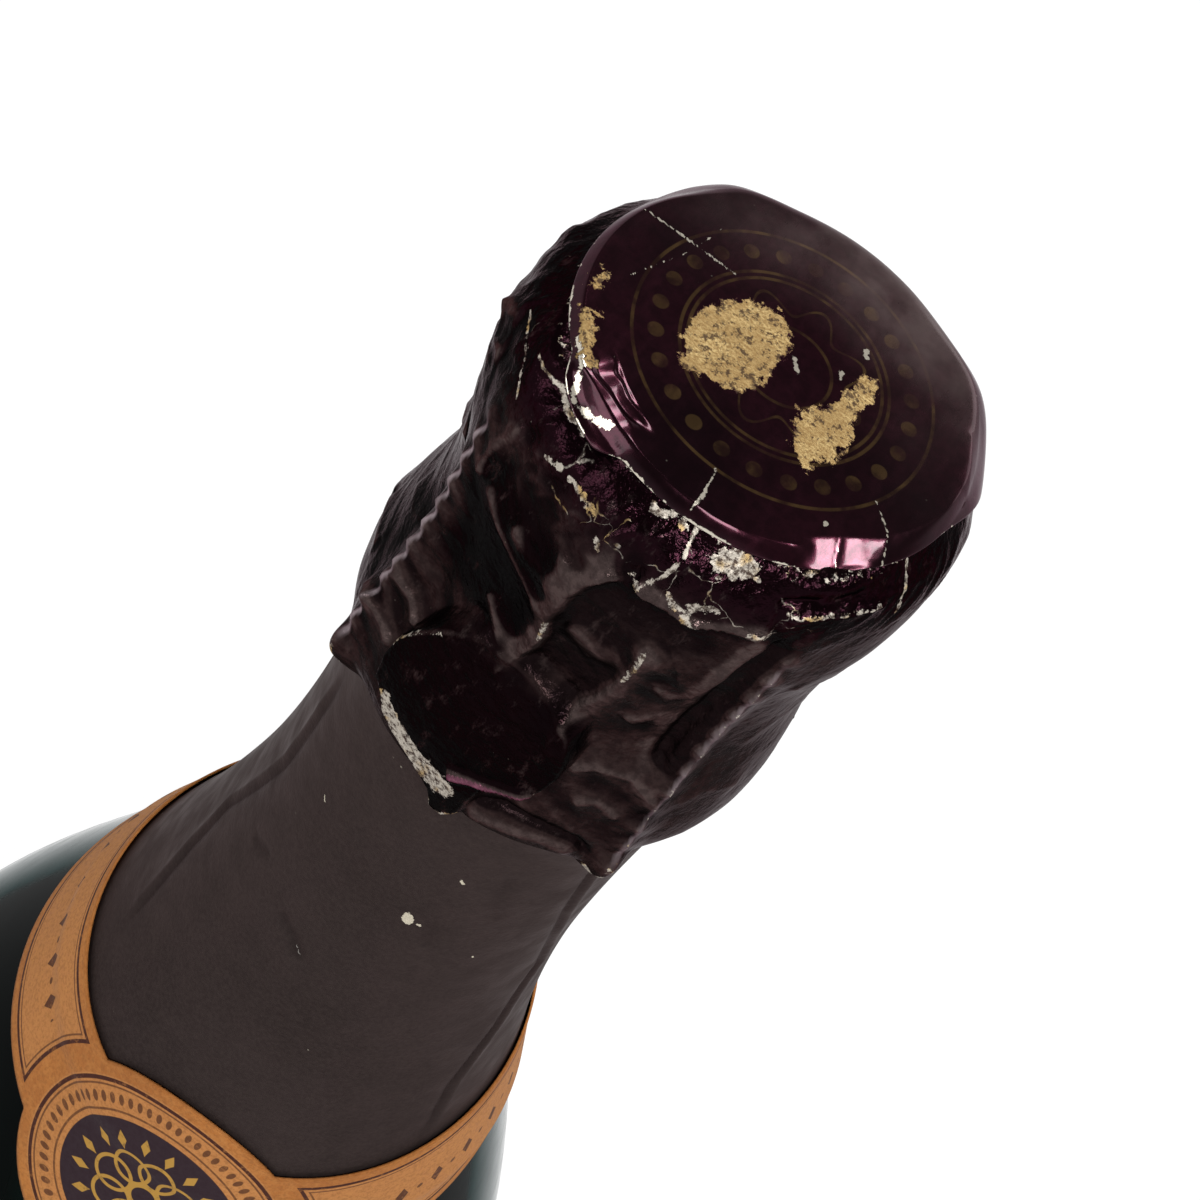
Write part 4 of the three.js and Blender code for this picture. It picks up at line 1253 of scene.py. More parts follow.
@dataclass
class WireCage:
    """Cap plate, frame wire with four twisted legs, and belt wire with its key loop."""

    glass: GlassBottle
    cork_top: float = 321.5
    cork_seat: float = 300.3
    cork_radius: float = 14.6
    plate_radius: float = 13.2
    plate_thickness: float = 0.3
    dome_radius: float = 10.4
    dome_rise: float = 1.3
    wire: float = 0.4
    gap: float = 0.3
    leg_count: int = 4
    first_leg: float = -47.5
    twist: float = 0.66
    twist_turns: float = 6.25
    key_azimuth: float = -1.0
    key_length: float = 10.4
    key_width: float = 11.4
    key_lean: float = 20.0
    key_radius: float = 16.1
    key_bulge: float = 0.8
    shank_rise: float = 4.4
    belt_drop: float = 13.0
    bow_width: float = 3.2
    key_opening: float = 8.0
    wire_sides: int = 12
    steps: int = 18

    def __post_init__(self) -> None:
        """Work out the levels and radii that follow from the sizes, and the middle line of a leg."""
        self.plate_top = self.cork_top + self.gap + self.plate_thickness
        self.ring_z = self.plate_top + self.gap + self.wire
        self.ring_radius = self.plate_radius - 1.1
        self.reach = self.twist + self.wire
        self.crown = self.cork_radius + 0.4
        self.eyelet = 2 * self.wire + self.gap
        self.belt_z = self.glass.height - self.belt_drop
        self.bow = self.glass.ring_radius + self.gap + self.wire + self.eyelet
        self.tuck = self.glass.neck_radius + self.gap + self.wire
        self.key_bottom = self.belt_z + self.shank_rise
        self.legs = self.first_leg + 360.0 / self.leg_count * np.arange(self.leg_count)
        lip = self.glass.bead_radius + self.gap + self.reach
        ring = self.glass.ring_radius + self.gap + self.reach
        f = self.glass.finish_round
        head = self.cork_top - self.cork_seat
        self.leg_line = spline([
            (self.plate_radius + 0.85, self.ring_z - 0.3), (self.crown - 0.4, self.ring_z - 1.9),
            (self.crown, self.ring_z - 4.6), (self.crown, self.cork_seat + 0.62 * head),
            (self.crown, self.cork_seat + 0.3 * head), (lip, self.glass.height),
            (lip, self.glass.bead_bottom + f),
            (ring, self.glass.ring_top + f), (ring, self.belt_z + self.eyelet + 2 * self.wire + self.gap),
        ], 400)

    def leg_turn(self, azimuth: Array) -> Array:
        """Turn in degrees from the nearest leg to each azimuth."""
        turns = np.stack([turn_between(leg, azimuth) for leg in self.legs])
        return np.take_along_axis(turns, np.abs(turns).argmin(axis=0)[None], axis=0)[0]

    def leg_side(self, z: Array, reach: float, sign: float) -> Array:
        """Outer (sign 1) or inner (sign -1) radius at each height of a round space along a leg's line.

        Args:
            z: Heights.
            reach: Radius of the space.
            sign: Side that is asked for.

        Returns:
            Radii, or nan where the leg doesn't reach.
        """
        x, level = self.leg_line.T
        fall = np.asarray(z, float)[..., None] - level
        near = np.abs(fall) < reach
        side = np.where(near, sign * x + np.sqrt(np.maximum(reach**2 - fall**2, 0.0)), -np.inf)
        best = side.max(axis=-1)
        return np.where(np.isfinite(best), sign * best, np.nan)

    def strands(self, azimuth: float) -> tuple[Array, Array, Array]:
        """The two strands of a leg, turning about its line, and the eyelet that joins them round the belt.

        Args:
            azimuth: Azimuth of the leg.

        Returns:
            Strand down, eyelet, strand up.
        """
        line = resampled(self.leg_line, int(self.twist_turns * self.steps) + 1)
        way = np.gradient(line, axis=0)
        way /= np.linalg.norm(way, axis=1)[:, None]
        outward, across = polar(1.0, azimuth, 0.0), polar(1.0, azimuth + 90.0, 0.0)
        up = np.array([0.0, 0.0, 1.0])
        turn = 2 * np.pi * self.twist_turns * np.linspace(0, 1, len(line))[:, None]
        lift = -way[:, 1:] * outward + way[:, :1] * up
        offset = across * np.cos(turn) + lift * np.sin(turn)
        middle = line[:, :1] * outward + line[:, 1:] * up
        angle = np.pi * (1 + np.linspace(0, 1, 14))[:, None]
        eyelet = (self.bow + self.eyelet * np.cos(angle)) * outward
        eyelet = eyelet + (self.belt_z + self.eyelet * np.sin(angle)) * up
        return middle - self.twist * offset, eyelet, (middle + self.twist * offset)[::-1]

    def ring_bend(self, azimuth: float, sign: float, end: Array) -> Array:
        """Bend (1-u)^2 a + 2u(1-u) b + u^2 c between the top ring and a strand.

        Args:
            azimuth: Azimuth of the leg.
            sign: Side of the leg.
            end: First point of the strand.

        Returns:
            Points of the bend without its last.
        """
        corner = polar(self.ring_radius, azimuth, self.ring_z) + sign * self.twist * polar(
            1.0, azimuth + 90.0, 0.0
        )
        start = polar(self.ring_radius, azimuth + sign * 60.0 / self.leg_count, self.ring_z)
        u = np.linspace(0, 1, 12)[:-1, None]
        return (1 - u) ** 2 * start + 2 * u * (1 - u) * corner + u**2 * end

    def frame_path(self) -> Array:
        """One closed line: round the top ring, and down and up each leg in turn."""
        stretches = []
        for azimuth in self.legs:
            down, eyelet, up = self.strands(azimuth)
            between = azimuth + 360.0 / self.leg_count * np.linspace(0.2, 0.8, 16)
            stretches += [
                self.ring_bend(azimuth, -1.0, down[0]), down, eyelet, up,
                self.ring_bend(azimuth, 1.0, up[-1])[::-1], polar(self.ring_radius, between, self.ring_z),
            ]
        return np.vstack(stretches)

    def key_radius_at(self, z: Array) -> Array:
        """Radius of the key's face: a low bulge over its length."""
        share = np.clip((np.asarray(z, float) - self.key_bottom) / self.key_length, 0.0, 1.0)
        return self.key_radius + self.key_bulge * np.sin(np.pi * share)

    def key_loop(self) -> Array:
        """Leaning oval: along = L/2 (1 - cos a), across = W/2 sin a, laid on the key's face."""
        open_angle = math.asin(2 * self.twist / self.key_width)
        turn = np.linspace(2 * np.pi - open_angle, open_angle, 80)
        along, across = self.key_length / 2 * (1 - np.cos(turn)), self.key_width / 2 * np.sin(turn)
        lean = math.radians(self.key_lean)
        sideways = across * math.cos(lean) - along * math.sin(lean)
        z = self.key_bottom + along * math.cos(lean) + across * math.sin(lean)
        return polar(self.key_radius_at(z), self.key_azimuth + np.degrees(sideways / self.key_radius), z)

    def key_shank(self, sign: float) -> Array:
        """Strand of the twisted shank: one turn about a bend from the belt out and up to the key.

        Args:
            sign: Which of the two strands.

        Returns:
            Points from the belt to the key.
        """
        a = np.array([self.tuck + 0.7, self.belt_z])
        b, c = np.array([self.key_radius, self.belt_z]), np.array([self.key_radius, self.key_bottom])
        u = np.linspace(0, 1, 200)[:, None]
        line = resampled((1 - u) ** 2 * a + 2 * u * (1 - u) * b + u**2 * c, self.steps + 1)
        way = np.gradient(line, axis=0)
        way /= np.linalg.norm(way, axis=1)[:, None]
        outward, across = polar(1.0, self.key_azimuth, 0.0), polar(1.0, self.key_azimuth + 90.0, 0.0)
        up = np.array([0.0, 0.0, 1.0])
        turn = 2 * np.pi * np.linspace(0, 1, len(line))[:, None]
        lift = -way[:, 1:] * outward + way[:, :1] * up
        offset = across * np.cos(turn) + lift * np.sin(turn)
        return line[:, :1] * outward + line[:, 1:] * up + sign * self.twist * offset

    def belt_path(self) -> Array:
        """One closed line: up the shank, round the key loop, down again, and round under the glass ring."""
        azimuth = self.key_azimuth + np.linspace(self.key_opening, 360 - self.key_opening, 220)
        away = np.radians(self.leg_turn(azimuth)) * self.bow
        radius = mix(self.tuck, self.bow, np.exp(-((away / self.bow_width) ** 2)))
        round_belt = polar(radius, azimuth, self.belt_z)
        return np.vstack([self.key_shank(-1.0), self.key_loop(), self.key_shank(1.0)[::-1], round_belt])

    def plate_grid(self) -> tuple[Array, Array]:
        """Pressed plate: a raised middle, a rounded step and a flange; the lower face lies a thickness below.

        Returns:
            The grid, and the wear of each of its rows.
        """
        slope = self.dome_rise / 2
        radius = np.concatenate([np.linspace(0, self.dome_radius - 1.6, 14), np.linspace(
            self.dome_radius - 1.5, self.dome_radius + 1.5, 22),
            np.linspace(self.dome_radius + 1.6, self.plate_radius, 8)])
        rise = self.dome_rise * (1 - smoothstep(self.dome_radius - slope, self.dome_radius + slope, radius))
        ring = 0.12 * np.exp(-(((radius - 6.2) / 0.35) ** 2))
        top = np.stack([radius, self.plate_top + rise + ring], axis=1)
        low = np.stack([radius, self.plate_top - self.plate_thickness + rise + ring], axis=1)
        outline = np.vstack([low, top[::-1]])
        azimuth = np.linspace(0, 360, 128, endpoint=False)
        grid = polar(outline[:, :1], azimuth[None], outline[:, 1:])
        worn = np.where(outline[:, 0] > self.plate_radius - 0.5, 0.7, 0.1)
        return grid, np.repeat(worn[:, None], len(azimuth), axis=1)

    def build(self) -> list[bpy.types.Object]:
        """Make the plate and both wires and dress them."""
        steel = WireFinish().make("cage_wire")
        grid, worn = self.plate_grid()
        plate = Surface(grid, close_columns=True)
        plate.attributes["wear"] = worn
        wires = [
            ("frame_wire", self.frame_path(), "cage_frame_wire"),
            ("belt_wire", self.belt_path(), "cage_belt_wire"),
        ]
        tin = CapPlateFinish().make("cap_plate")
        pieces = [plate.make("cap_plate", Body.CAGE, "cage_plate", "cap_plate", [tin])]
        for name, path, node in wires:
            surface = Surface(tube(path, self.wire, self.wire_sides), True, True)
            pieces.append(surface.make(name, Body.CAGE, node, "cage_wire", [steel]))
        return pieces


@dataclass
class MushroomCork:
    """Pressed cork body with a mushroom head, and two natural discs glued to its foot."""

    glass: GlassBottle
    cage: WireCage
    waist: float = 12.2
    depth: float = 24.0
    disc: float = 5.5
    chamfer: float = 1.0
    crown_round: float = 3.4
    fit: float = 0.25
    glue: float = 0.05
    sides: int = 240

    def body_grid(self) -> Array:
        """Stem and head by a smooth outline, with a round groove where each leg bites in.

        Returns:
            The grid.
        """
        seat, top, head = self.cage.cork_seat, self.cage.cork_top, self.cage.cork_radius
        stem = self.glass.mouth_bore - self.fit
        foot = self.glass.height - self.depth + 2 * (self.disc + self.glue)
        tall = top - seat
        crown = spline([
            (self.waist, seat), (mix(self.waist, head, 0.75), seat + 0.16 * tall), (head, seat + 0.45 * tall),
            (head, seat + 0.7 * tall), (head - self.crown_round / 2, seat + 0.92 * tall),
            (head - self.crown_round, top),
        ], 60, even=True)
        shaft = np.stack([np.full(12, stem), np.linspace(foot, seat - 0.3, 12)], axis=1)
        outline = np.vstack([[(0.0, foot), (stem / 2, foot)], shaft, crown, [(head / 2, top), (0.0, top)]])
        azimuth = np.linspace(0, 360, self.sides, endpoint=False)
        radius = np.repeat(outline[:, :1], self.sides, axis=1)
        z = outline[:, 1:]
        reach = self.cage.reach + self.cage.gap
        away = np.abs(np.radians(self.cage.leg_turn(azimuth)) * head)[None]
        bottom = self.cage.leg_side(outline[:, 1], reach, -1.0)[:, None]
        groove = bottom + reach - np.sqrt(np.maximum(reach**2 - away**2, 0.0))
        bitten = (away < reach) & np.isfinite(groove) & (z > seat)
        radius = np.where(bitten, np.minimum(radius, groove), radius)
        return polar(radius, azimuth[None], z)

    def disc_grid(self, foot: float, chamfer: float) -> Array:
        """Round slice with softened edges.

        Args:
            foot: Height of its lower face.
            chamfer: Size of the lower bevel.

        Returns:
            The grid.
        """
        stem = self.glass.mouth_bore - self.fit
        top = foot + self.disc
        outline = np.array([
            (0.0, foot), (stem / 2, foot), (stem - chamfer - 0.1, foot),
            (stem - 0.6 * chamfer, foot + 0.4 * chamfer),
            (stem - 0.02, foot + max(chamfer, 0.2)), (stem, foot + max(chamfer, 0.2) + 0.4),
            (stem, (foot + top) / 2 + 1),
            (stem, top - 0.15), (stem - 0.08, top), (stem / 2, top), (0.0, top),
        ])
        azimuth = np.linspace(0, 360, 96, endpoint=False)
        return polar(outline[:, :1], azimuth[None], outline[:, 1:])

    def build(self) -> list[bpy.types.Object]:
        """Make the body and both discs and dress them."""
        foot = self.glass.height - self.depth
        pressed = CorkFinish().make("pressed_cork")
        slices = CorkFinish(pale=linear(206, 158, 104), tan=linear(184, 132, 82), grain=240.0, pores=0.03)
        sliced = slices.make("natural_cork")
        body = Surface(self.body_grid(), close_columns=True)
        upper = Surface(self.disc_grid(foot + self.disc + self.glue, 0.0), close_columns=True)
        lower = Surface(self.disc_grid(foot, self.chamfer), close_columns=True)
        return [
            body.make("cork_head_and_stem", Body.CORK, "cork_body", "pressed_cork", [pressed]),
            upper.make("cork_upper_slice", Body.CORK, "cork_disc_upper", "natural_cork", [sliced]),
            lower.make("cork_lower_slice", Body.CORK, "cork_disc_lower", "natural_cork", [sliced]),
        ]


def hood_creases() -> list[Crease]:
    """Folds of the hood's front: azimuth and depth of each line, its height and its widths on both sides."""
    soft = CreaseForm.SOFT
    return [
        Crease([(-9.7, 22.9), (-8.1, 20.1), (-6.2, 17.7), (-5.6, 15.7), (-6.8, 13.9), (-6.5, 11.8),
                (-6.2, 9.6),
                (-4.8, 7.9), (-1.9, 6.3), (2.5, 5.3)], 0.95, 1.9, 0.35),
        Crease([(1.0, 5.6), (6.2, 5.8), (11.5, 5.6), (17.2, 6.0), (25.0, 5.2), (35.0, 5.0)], 0.75, 1.3, 0.35),
        Crease([(9.9, 26.5), (9.8, 24.1), (9.7, 21.9), (11.3, 19.8), (13.9, 17.6), (14.4, 14.9), (14.4, 12.5),
                (13.5, 9.0)], 0.7, 0.5, 2.2),
        Crease([(-3.7, 12.8), (1.7, 13.2), (6.5, 13.7), (12.5, 12.8)], 0.4, 1.2, 1.2, soft),
        Crease([(18.9, 13.4), (25.5, 14.9), (29.4, 14.0), (31.4, 10.3), (33.4, 7.5),
                (37.4, 5.6)], 0.5, 1.6, 0.5),
        Crease([(38.0, 5.0), (36.8, 8.9), (36.5, 11.8), (37.7, 15.9), (37.5, 20.1),
                (38.4, 25.0)], -0.85, 0.9, 0.8, soft),
        Crease([(89.0, 23.0), (76.0, 21.0), (68.0, 21.5), (60.0, 24.0)], 0.2, 0.9, 1.6),
        Crease([(31.0, 2.9), (36.9, 2.2), (42.4, 2.0), (54.0, 1.8)], -0.45, 0.3, 0.3),
        Crease([(33.0, 3.7), (40.1, 3.0), (46.8, 2.8), (62.0, 2.9)], 0.4, 0.3, 0.8),
        Crease([(-39.0, 10.4), (-27.8, 11.6), (-12.4, 12.8), (-7.0, 13.9)], 0.42, 1.2, 0.9),
        Crease([(-26.5, 9.8), (-18.0, 10.6), (-11.4, 10.4), (-10.0, 7.0)], 0.3, 0.9, 0.9, soft),
        Crease([(-50.4, 28.0), (-45.0, 26.6), (-39.8, 26.6), (-33.0, 27.9)], 0.45, 0.7, 0.7),
        Crease([(-54.6, 31.7), (-49.0, 30.6), (-43.7, 30.5), (-34.5, 31.2)], 0.45, 0.7, 0.7),
        Crease([(16.8, 27.3), (24.3, 25.9), (33.9, 26.1), (43.0, 28.0)], 0.5, 1.4, 0.8),
        Crease([(-41.7, 12.0), (-41.9, 8.6), (-37.8, 4.6)], 0.3, 0.6, 0.6),
        Crease([(5.0, 20.3), (7.4, 23.1), (9.4, 24.5), (12.8, 22.6)], -0.3, 0.4, 0.4),
        Crease([(3.6, 34.9), (11.7, 33.8), (19.7, 34.1), (26.4, 34.4), (31.5, 34.7),
                (38.4, 36.4)], -0.5, 0.4, 0.4),
        Crease([(4.0, 36.6), (13.0, 36.0), (24.0, 35.6), (34.0, 36.6)], 0.2, 0.7, 0.7, soft),
        Crease([(-24.0, 18.0), (-15.0, 19.5), (-9.0, 20.5)], 0.3, 0.8, 0.8),
        Crease([(22.0, 20.0), (28.0, 18.0), (33.0, 19.5)], 0.3, 0.9, 0.9, soft),
        Crease([(24.0, 30.5), (30.0, 29.5), (37.0, 31.0)], 0.3, 0.7, 0.7),
        Crease([(52.0, 12.0), (60.0, 14.0), (70.0, 13.0)], 0.15, 1.0, 1.0),
        Crease([(50.0, 30.0), (58.0, 28.5), (72.0, 30.0)], 0.15, 1.0, 1.0),
    ]


def hood_scuffs() -> list[Scuff | Patch]:
    """Worn places of the hood's front: lines with a width, and closed outlines."""
    return [
        Patch([(-27.1, 32.6), (-24.7, 34.2), (-19.8, 35.1), (-14.2, 35.7), (-8.8, 36.5), (-4.4, 36.1),
               (-0.5, 35.4),
               (0.6, 33.9), (-2.5, 33.4), (-6.4, 33.8), (-11.3, 33.9), (-16.8, 33.6), (-20.5, 32.8),
               (-25.5, 31.9)]),
        Patch([(12.5, 1.9), (15.5, 1.2), (18.5, 1.0), (24.7, 1.3), (25.6, 1.9), (20.4, 2.3), (15.1, 2.5)]),
        Scuff([(-4.5, 1.6), (1.0, 1.2), (5.0, 1.3)], 0.4),
        Scuff([(6.8, 1.0), (8.1, 2.5), (7.1, 3.8), (3.7, 5.7)], 0.22),
        Scuff([(10.0, 4.8), (14.0, 5.3), (18.0, 6.1)], 0.32),
        Scuff([(15.5, 4.9), (20.5, 4.4)], 0.34),
        Scuff([(4.0, 5.5), (1.0, 5.4)], 0.28),
        Scuff([(28.5, 4.9), (34.5, 4.9)], 0.25),
        Scuff([(-28.5, 4.2), (-25.0, 3.9)], 0.32),
        Scuff([(-22.0, 3.8), (-19.0, 3.7)], 0.3),
        Scuff([(-16.5, 3.7), (-13.0, 3.8)], 0.35),
        Scuff([(-8.8, 5.0), (-7.2, 5.2)], 0.3),
        Scuff([(-65.0, 3.2), (-57.5, 3.3), (-52.1, 3.4), (-44.7, 4.6)], 0.17),
        Scuff([(-50.6, 2.2), (-41.8, 2.0), (-35.0, 2.2), (-28.3, 2.1), (-24.7, 0.9)], 0.18),
        Scuff([(14.4, 14.6), (14.4, 12.5), (13.8, 10.2)], 0.22),
        Scuff([(-31.9, 28.6), (-31.0, 27.0), (-28.4, 25.1), (-24.0, 23.1)], 0.14, 0.6),
        Scuff([(16.2, 27.0), (15.1, 28.5), (13.6, 29.6)], 0.18, 0.55),
        Scuff([(35.0, 3.3), (44.0, 2.8), (58.0, 2.8)], 0.13),
        Scuff([(66.8, 1.2), (65.8, 2.9), (65.7, 5.0)], 0.18),
        Scuff([(-6.6, 13.7), (-6.0, 16.2)], 0.2),
        Scuff([(-5.0, 37.2), (-2.6, 38.3), (0.8, 38.3), (3.2, 37.0)], 0.24),
        Scuff([(-62.0, 37.4), (-54.0, 37.9), (-46.0, 38.1)], 0.6, 0.85),
        Scuff([(39.0, 37.6), (43.0, 38.0)], 0.4, 0.75),
    ]


@dataclass
class FoilCapsule:
    """Foil hood drawn over cork and cage, and the round disc on its top."""

    glass: GlassBottle
    cage: WireCage
    foil: float = 0.25
    clearance: float = 0.3
    turn_in: float = 1.6
    rim_drop: float = 13.7
    headroom: float = 0.45
    ridge_width: float = 3.1
    tooth: float = 2.6
    disc_radius: float = 13.9
    disc_gap: float = 0.25
    sag: float = 0.4
    lap: float = 1.7
    facet_start: float = 11.95
    front_columns: int = 330
    back_columns: int = 130
    back_creases: int = 46
    back_seed: int = 21
    crease_scale: float = 1.15
    rows: int = 186
    ledge: Track = Track([(-3.5, 33.0), (1.6, 31.8), (7.5, 30.7), (12.6, 29.8), (15.0, 28.8)])
    pocket: Patch = field(default_factory=lambda: Patch([
        (-27.1, 32.9), (-30.7, 31.8), (-32.0, 29.4), (-31.6, 27.3), (-28.9, 25.3), (-25.3, 23.4),
        (-20.8, 21.8),
        (-16.2, 20.6), (-8.4, 20.0), (-1.2, 20.1), (5.2, 20.7), (12.5, 22.2), (15.3, 24.4), (16.2, 26.4),
        (15.2, 28.3),
        (12.6, 29.8), (7.5, 30.7), (4.6, 31.6), (4.3, 34.0), (3.6, 37.2), (1.0, 38.6), (-2.6, 38.6),
        (-5.2, 36.9),
        (-8.8, 36.5), (-14.2, 35.7), (-19.8, 35.1), (-24.7, 34.3),
    ]))

    def __post_init__(self) -> None:
        """Work out the levels that follow from the sizes, and the outline between the legs."""
        g, c = self.glass, self.cage
        self.top = c.ring_z + c.wire + self.headroom + self.foil
        self.rim = g.height - self.rim_drop
        self.edge = c.plate_radius + 2 * self.clearance
        crown, waist = c.cork_radius + 1.5, c.cork_radius + 0.2 + self.foil
        seat, tall = c.cork_seat, c.cork_top - c.cork_seat
        f = g.finish_round
        self.outline = spline([
            (self.edge, self.top), (crown - 0.5, self.top - 2.9), (crown, seat + 0.8 * tall),
            (crown, seat + 0.6 * tall),
            (mix(waist, crown, 0.3), seat + 0.42 * tall), (waist, seat + 0.22 * tall), (waist, g.height + f),
            (g.ring_radius + 1.3, g.bead_bottom + f), (g.ring_radius + 2, g.ring_top),
            (g.ring_radius + 2, g.ring_bottom),
            (g.ring_radius + 1.3, self.rim),
        ], self.rows, even=True)
        self.outline[:, 1] -= self.sag * (1 - smoothstep(0.0, 2.6, self.top - self.outline[:, 1]))

    def azimuths(self) -> Array:
        """Azimuths of the columns: close together at the front, wider behind."""
        front = np.linspace(-78, 96, self.front_columns, endpoint=False)
        back = np.linspace(96, 282, self.back_columns, endpoint=False)
        return np.concatenate([front, back])

    def dome(self, azimuth: Array) -> Array:
        """Share of the rounded crown: 1 from the right side to the back, where disc and hood are one dome."""
        turn = turn_between(144.0, azimuth)
        whole = np.where(turn > 0, 76.0, 30.0)
        return 1 - smoothstep(whole, whole + 35.0, np.abs(turn))

    def over_legs(self, radius: Array, z: Array, low: Array,
                  azimuth: Array) -> tuple[Array, Array, Array]:
        """Tent over each leg: sharp crest with teeth along it, rounder at the top and over the eyelet.

        Args:
            radius: Radius between the legs.
            z: Heights of the rows.
            low: Heights with the rim drawn down over the eyelets.
            azimuth: Azimuths.

        Returns:
            Radius with the tents, the share of the crest at each point and the height of the teeth.
        """
        cage = self.cage
        depth = CAPSULE_TOP - z
        foot = smoothstep(0, self.glass.ring_height, self.glass.ring_top - z)
        cover = mix(0.1, self.clearance + self.foil, smoothstep(2.0, 9.0, depth))
        leg = cage.leg_side(z[:, 0], cage.reach, 1.0)[:, None]
        leg = np.where(np.isfinite(leg), leg + cover, radius)
        span = cage.eyelet + cage.wire + 0.5 * cover
        below = np.maximum(0.0, cage.belt_z - low)
        foot_top = cage.bow + np.sqrt(np.maximum(0.0, span**2 - below**2))
        ridge = np.maximum(leg, mix(radius, foot_top, foot))
        swing = np.abs((z / self.tooth) % 1.0 - 0.5) * 4.0 - 1.0
        away = np.abs(np.radians(cage.leg_turn(azimuth)) * ridge + 0.12 * swing * (1 - foot))
        head = 1 - smoothstep(2.0, 9.0, depth)
        width = self.ridge_width + 5.0 * head
        sharp = np.maximum(0.0, 1.0 - away / width) ** 1.5
        crest = mix(sharp, np.exp(-((away / (0.45 * width)) ** 2)), np.maximum(head, foot))
        crest = crest * smoothstep(0.5, 1.4, depth) * (
            1 - self.dome(azimuth) * (1 - smoothstep(3.5, 6.5, depth))
        )
        chevron = np.cos(2 * np.pi * (z / self.tooth + 0.22 * away))
        teeth = 0.18 * chevron * np.exp(-away / 0.8) * (1 - 0.7 * foot) * smoothstep(5.0, 9.0, depth)
        return radius + np.maximum(0.0, ridge - radius + 0.05) * crest + teeth, crest, teeth

    def over_wires(self, z: Array, azimuth: Array) -> Array:
        """Least radius that covers the twisted legs: a round of the twist's reach about each leg's line."""
        reach = self.cage.reach
        side = self.cage.leg_side(z[:, 0], reach, 1.0)[:, None]
        across = np.radians(self.cage.leg_turn(azimuth)) * self.cage.crown
        bow = np.sqrt(np.maximum(0.0, reach**2 - across**2))
        covered = np.isfinite(side) & (np.abs(across) < reach)
        return np.where(covered, np.nan_to_num(side) - reach + bow + 0.12, 0.0)

    def pocket_share(self, azimuth: Array, depth: Array) -> Array:
        """How far a point belongs to the key's pocket: a long slope above it, a short one below."""
        inside = self.pocket.inside(Chart(azimuth, depth, self.mm_per_degree))
        lead = mix(1.6, 0.5, smoothstep(22, 29, depth))
        return smoothstep(0.0, 1.0, (inside + lead) / (lead + 0.25))

    @property
    def mm_per_degree(self) -> float:
        """Arc length of one degree on the hood."""
        return math.radians(16.2)

    def crumple(self, azimuth: Array, depth: Array) -> Array:
        """Random folds: ridged lattice noise 1 - |n| at two sizes, and more creases drawn at random behind.

        Args:
            azimuth: Azimuths.
            depth: Depths.

        Returns:
            Lift in millimetres.
        """
        turn = (azimuth % 360.0) / 360.0
        skew = turn + 0.004 * depth
        coarse = 1.0 - np.abs(lattice_noise(skew, depth, 18, 6.5, 3))
        fine = 1.0 - np.abs(lattice_noise(turn - 0.01 * depth, depth, 40, 2.6, 8))
        calm = 1 - 0.6 * window(44, 52, 95, 115, azimuth)
        tight = 1.0 - np.abs(lattice_noise(turn + 0.006 * depth, depth, 84, 1.7, 31))
        crown = window(1.0, 2.0, 5.0, 8.0, depth) * (0.55 + 0.45 * np.cos(np.radians(azimuth)))
        lift = (0.2 * (coarse - 0.6) + 0.12 * (fine - 0.6)) * calm + 0.3 * (tight - 0.6) * crown
        rng = np.random.default_rng(self.back_seed)
        creases = []
        for _ in range(self.back_creases):
            at, deep = rng.uniform(104, 305), rng.uniform(5, 34)
            heading, length = rng.uniform(-0.9, 0.9), rng.uniform(3, 9)
            bend, height = rng.uniform(-1.5, 1.5), rng.uniform(0.15, 0.4)
            left, right = rng.uniform(0.4, 1.6, 2)
            reach = length / self.mm_per_degree
            run, fall = reach / 2, heading * length / 2
            track = [(at - run, deep - fall), (at, deep + bend), (at + run, deep + fall)]
            creases.append(Crease(track, height, left, right))
        return lift + lifted_by(creases, Chart(azimuth % 360.0, depth, self.mm_per_degree))

    def key_pocket(
        self, formed: Array, azimuth: Array, depth: Array
    ) -> tuple[Array, Array]:
        """Raise the foil to a flat face over the key, a bump over its shank and a strip along the hem.

        Args:
            formed: Radius without the key.
            azimuth: Azimuths from the front.
            depth: Depths.

        Returns:
            Radius with the key's forms, and the share of the pocket at each point.
        """
        levels, reach = (17.0, 22.7, 27.9, 31.0, 33.6, 38.5), (15.3, 16.85, 17.5, 17.65, 17.55, 17.0)
        face = np.mean(
            [np.interp(depth + shift, levels, reach) for shift in np.linspace(-1.5, 1.5, 7)], axis=0
        )
        beside = (azimuth - self.cage.key_azimuth) * self.mm_per_degree / 1.4
        face = face + 0.4 * np.exp(-(beside**2)) * smoothstep(31.5, 34.0, depth)
        face = face + 0.45 * np.clip((azimuth + 8.0) / 20.0, -1.1, 1.1) ** 2 - 0.15
        share = self.pocket_share(azimuth, depth)
        formed = formed + np.maximum(0.0, face - formed) * share
        strip = window(2, 6, 35, 43, azimuth)
        strip = strip * window(33.4, 34.6, 36.8, 38.2, depth)
        return formed + np.maximum(0.0, 16.95 - formed) * strip, share

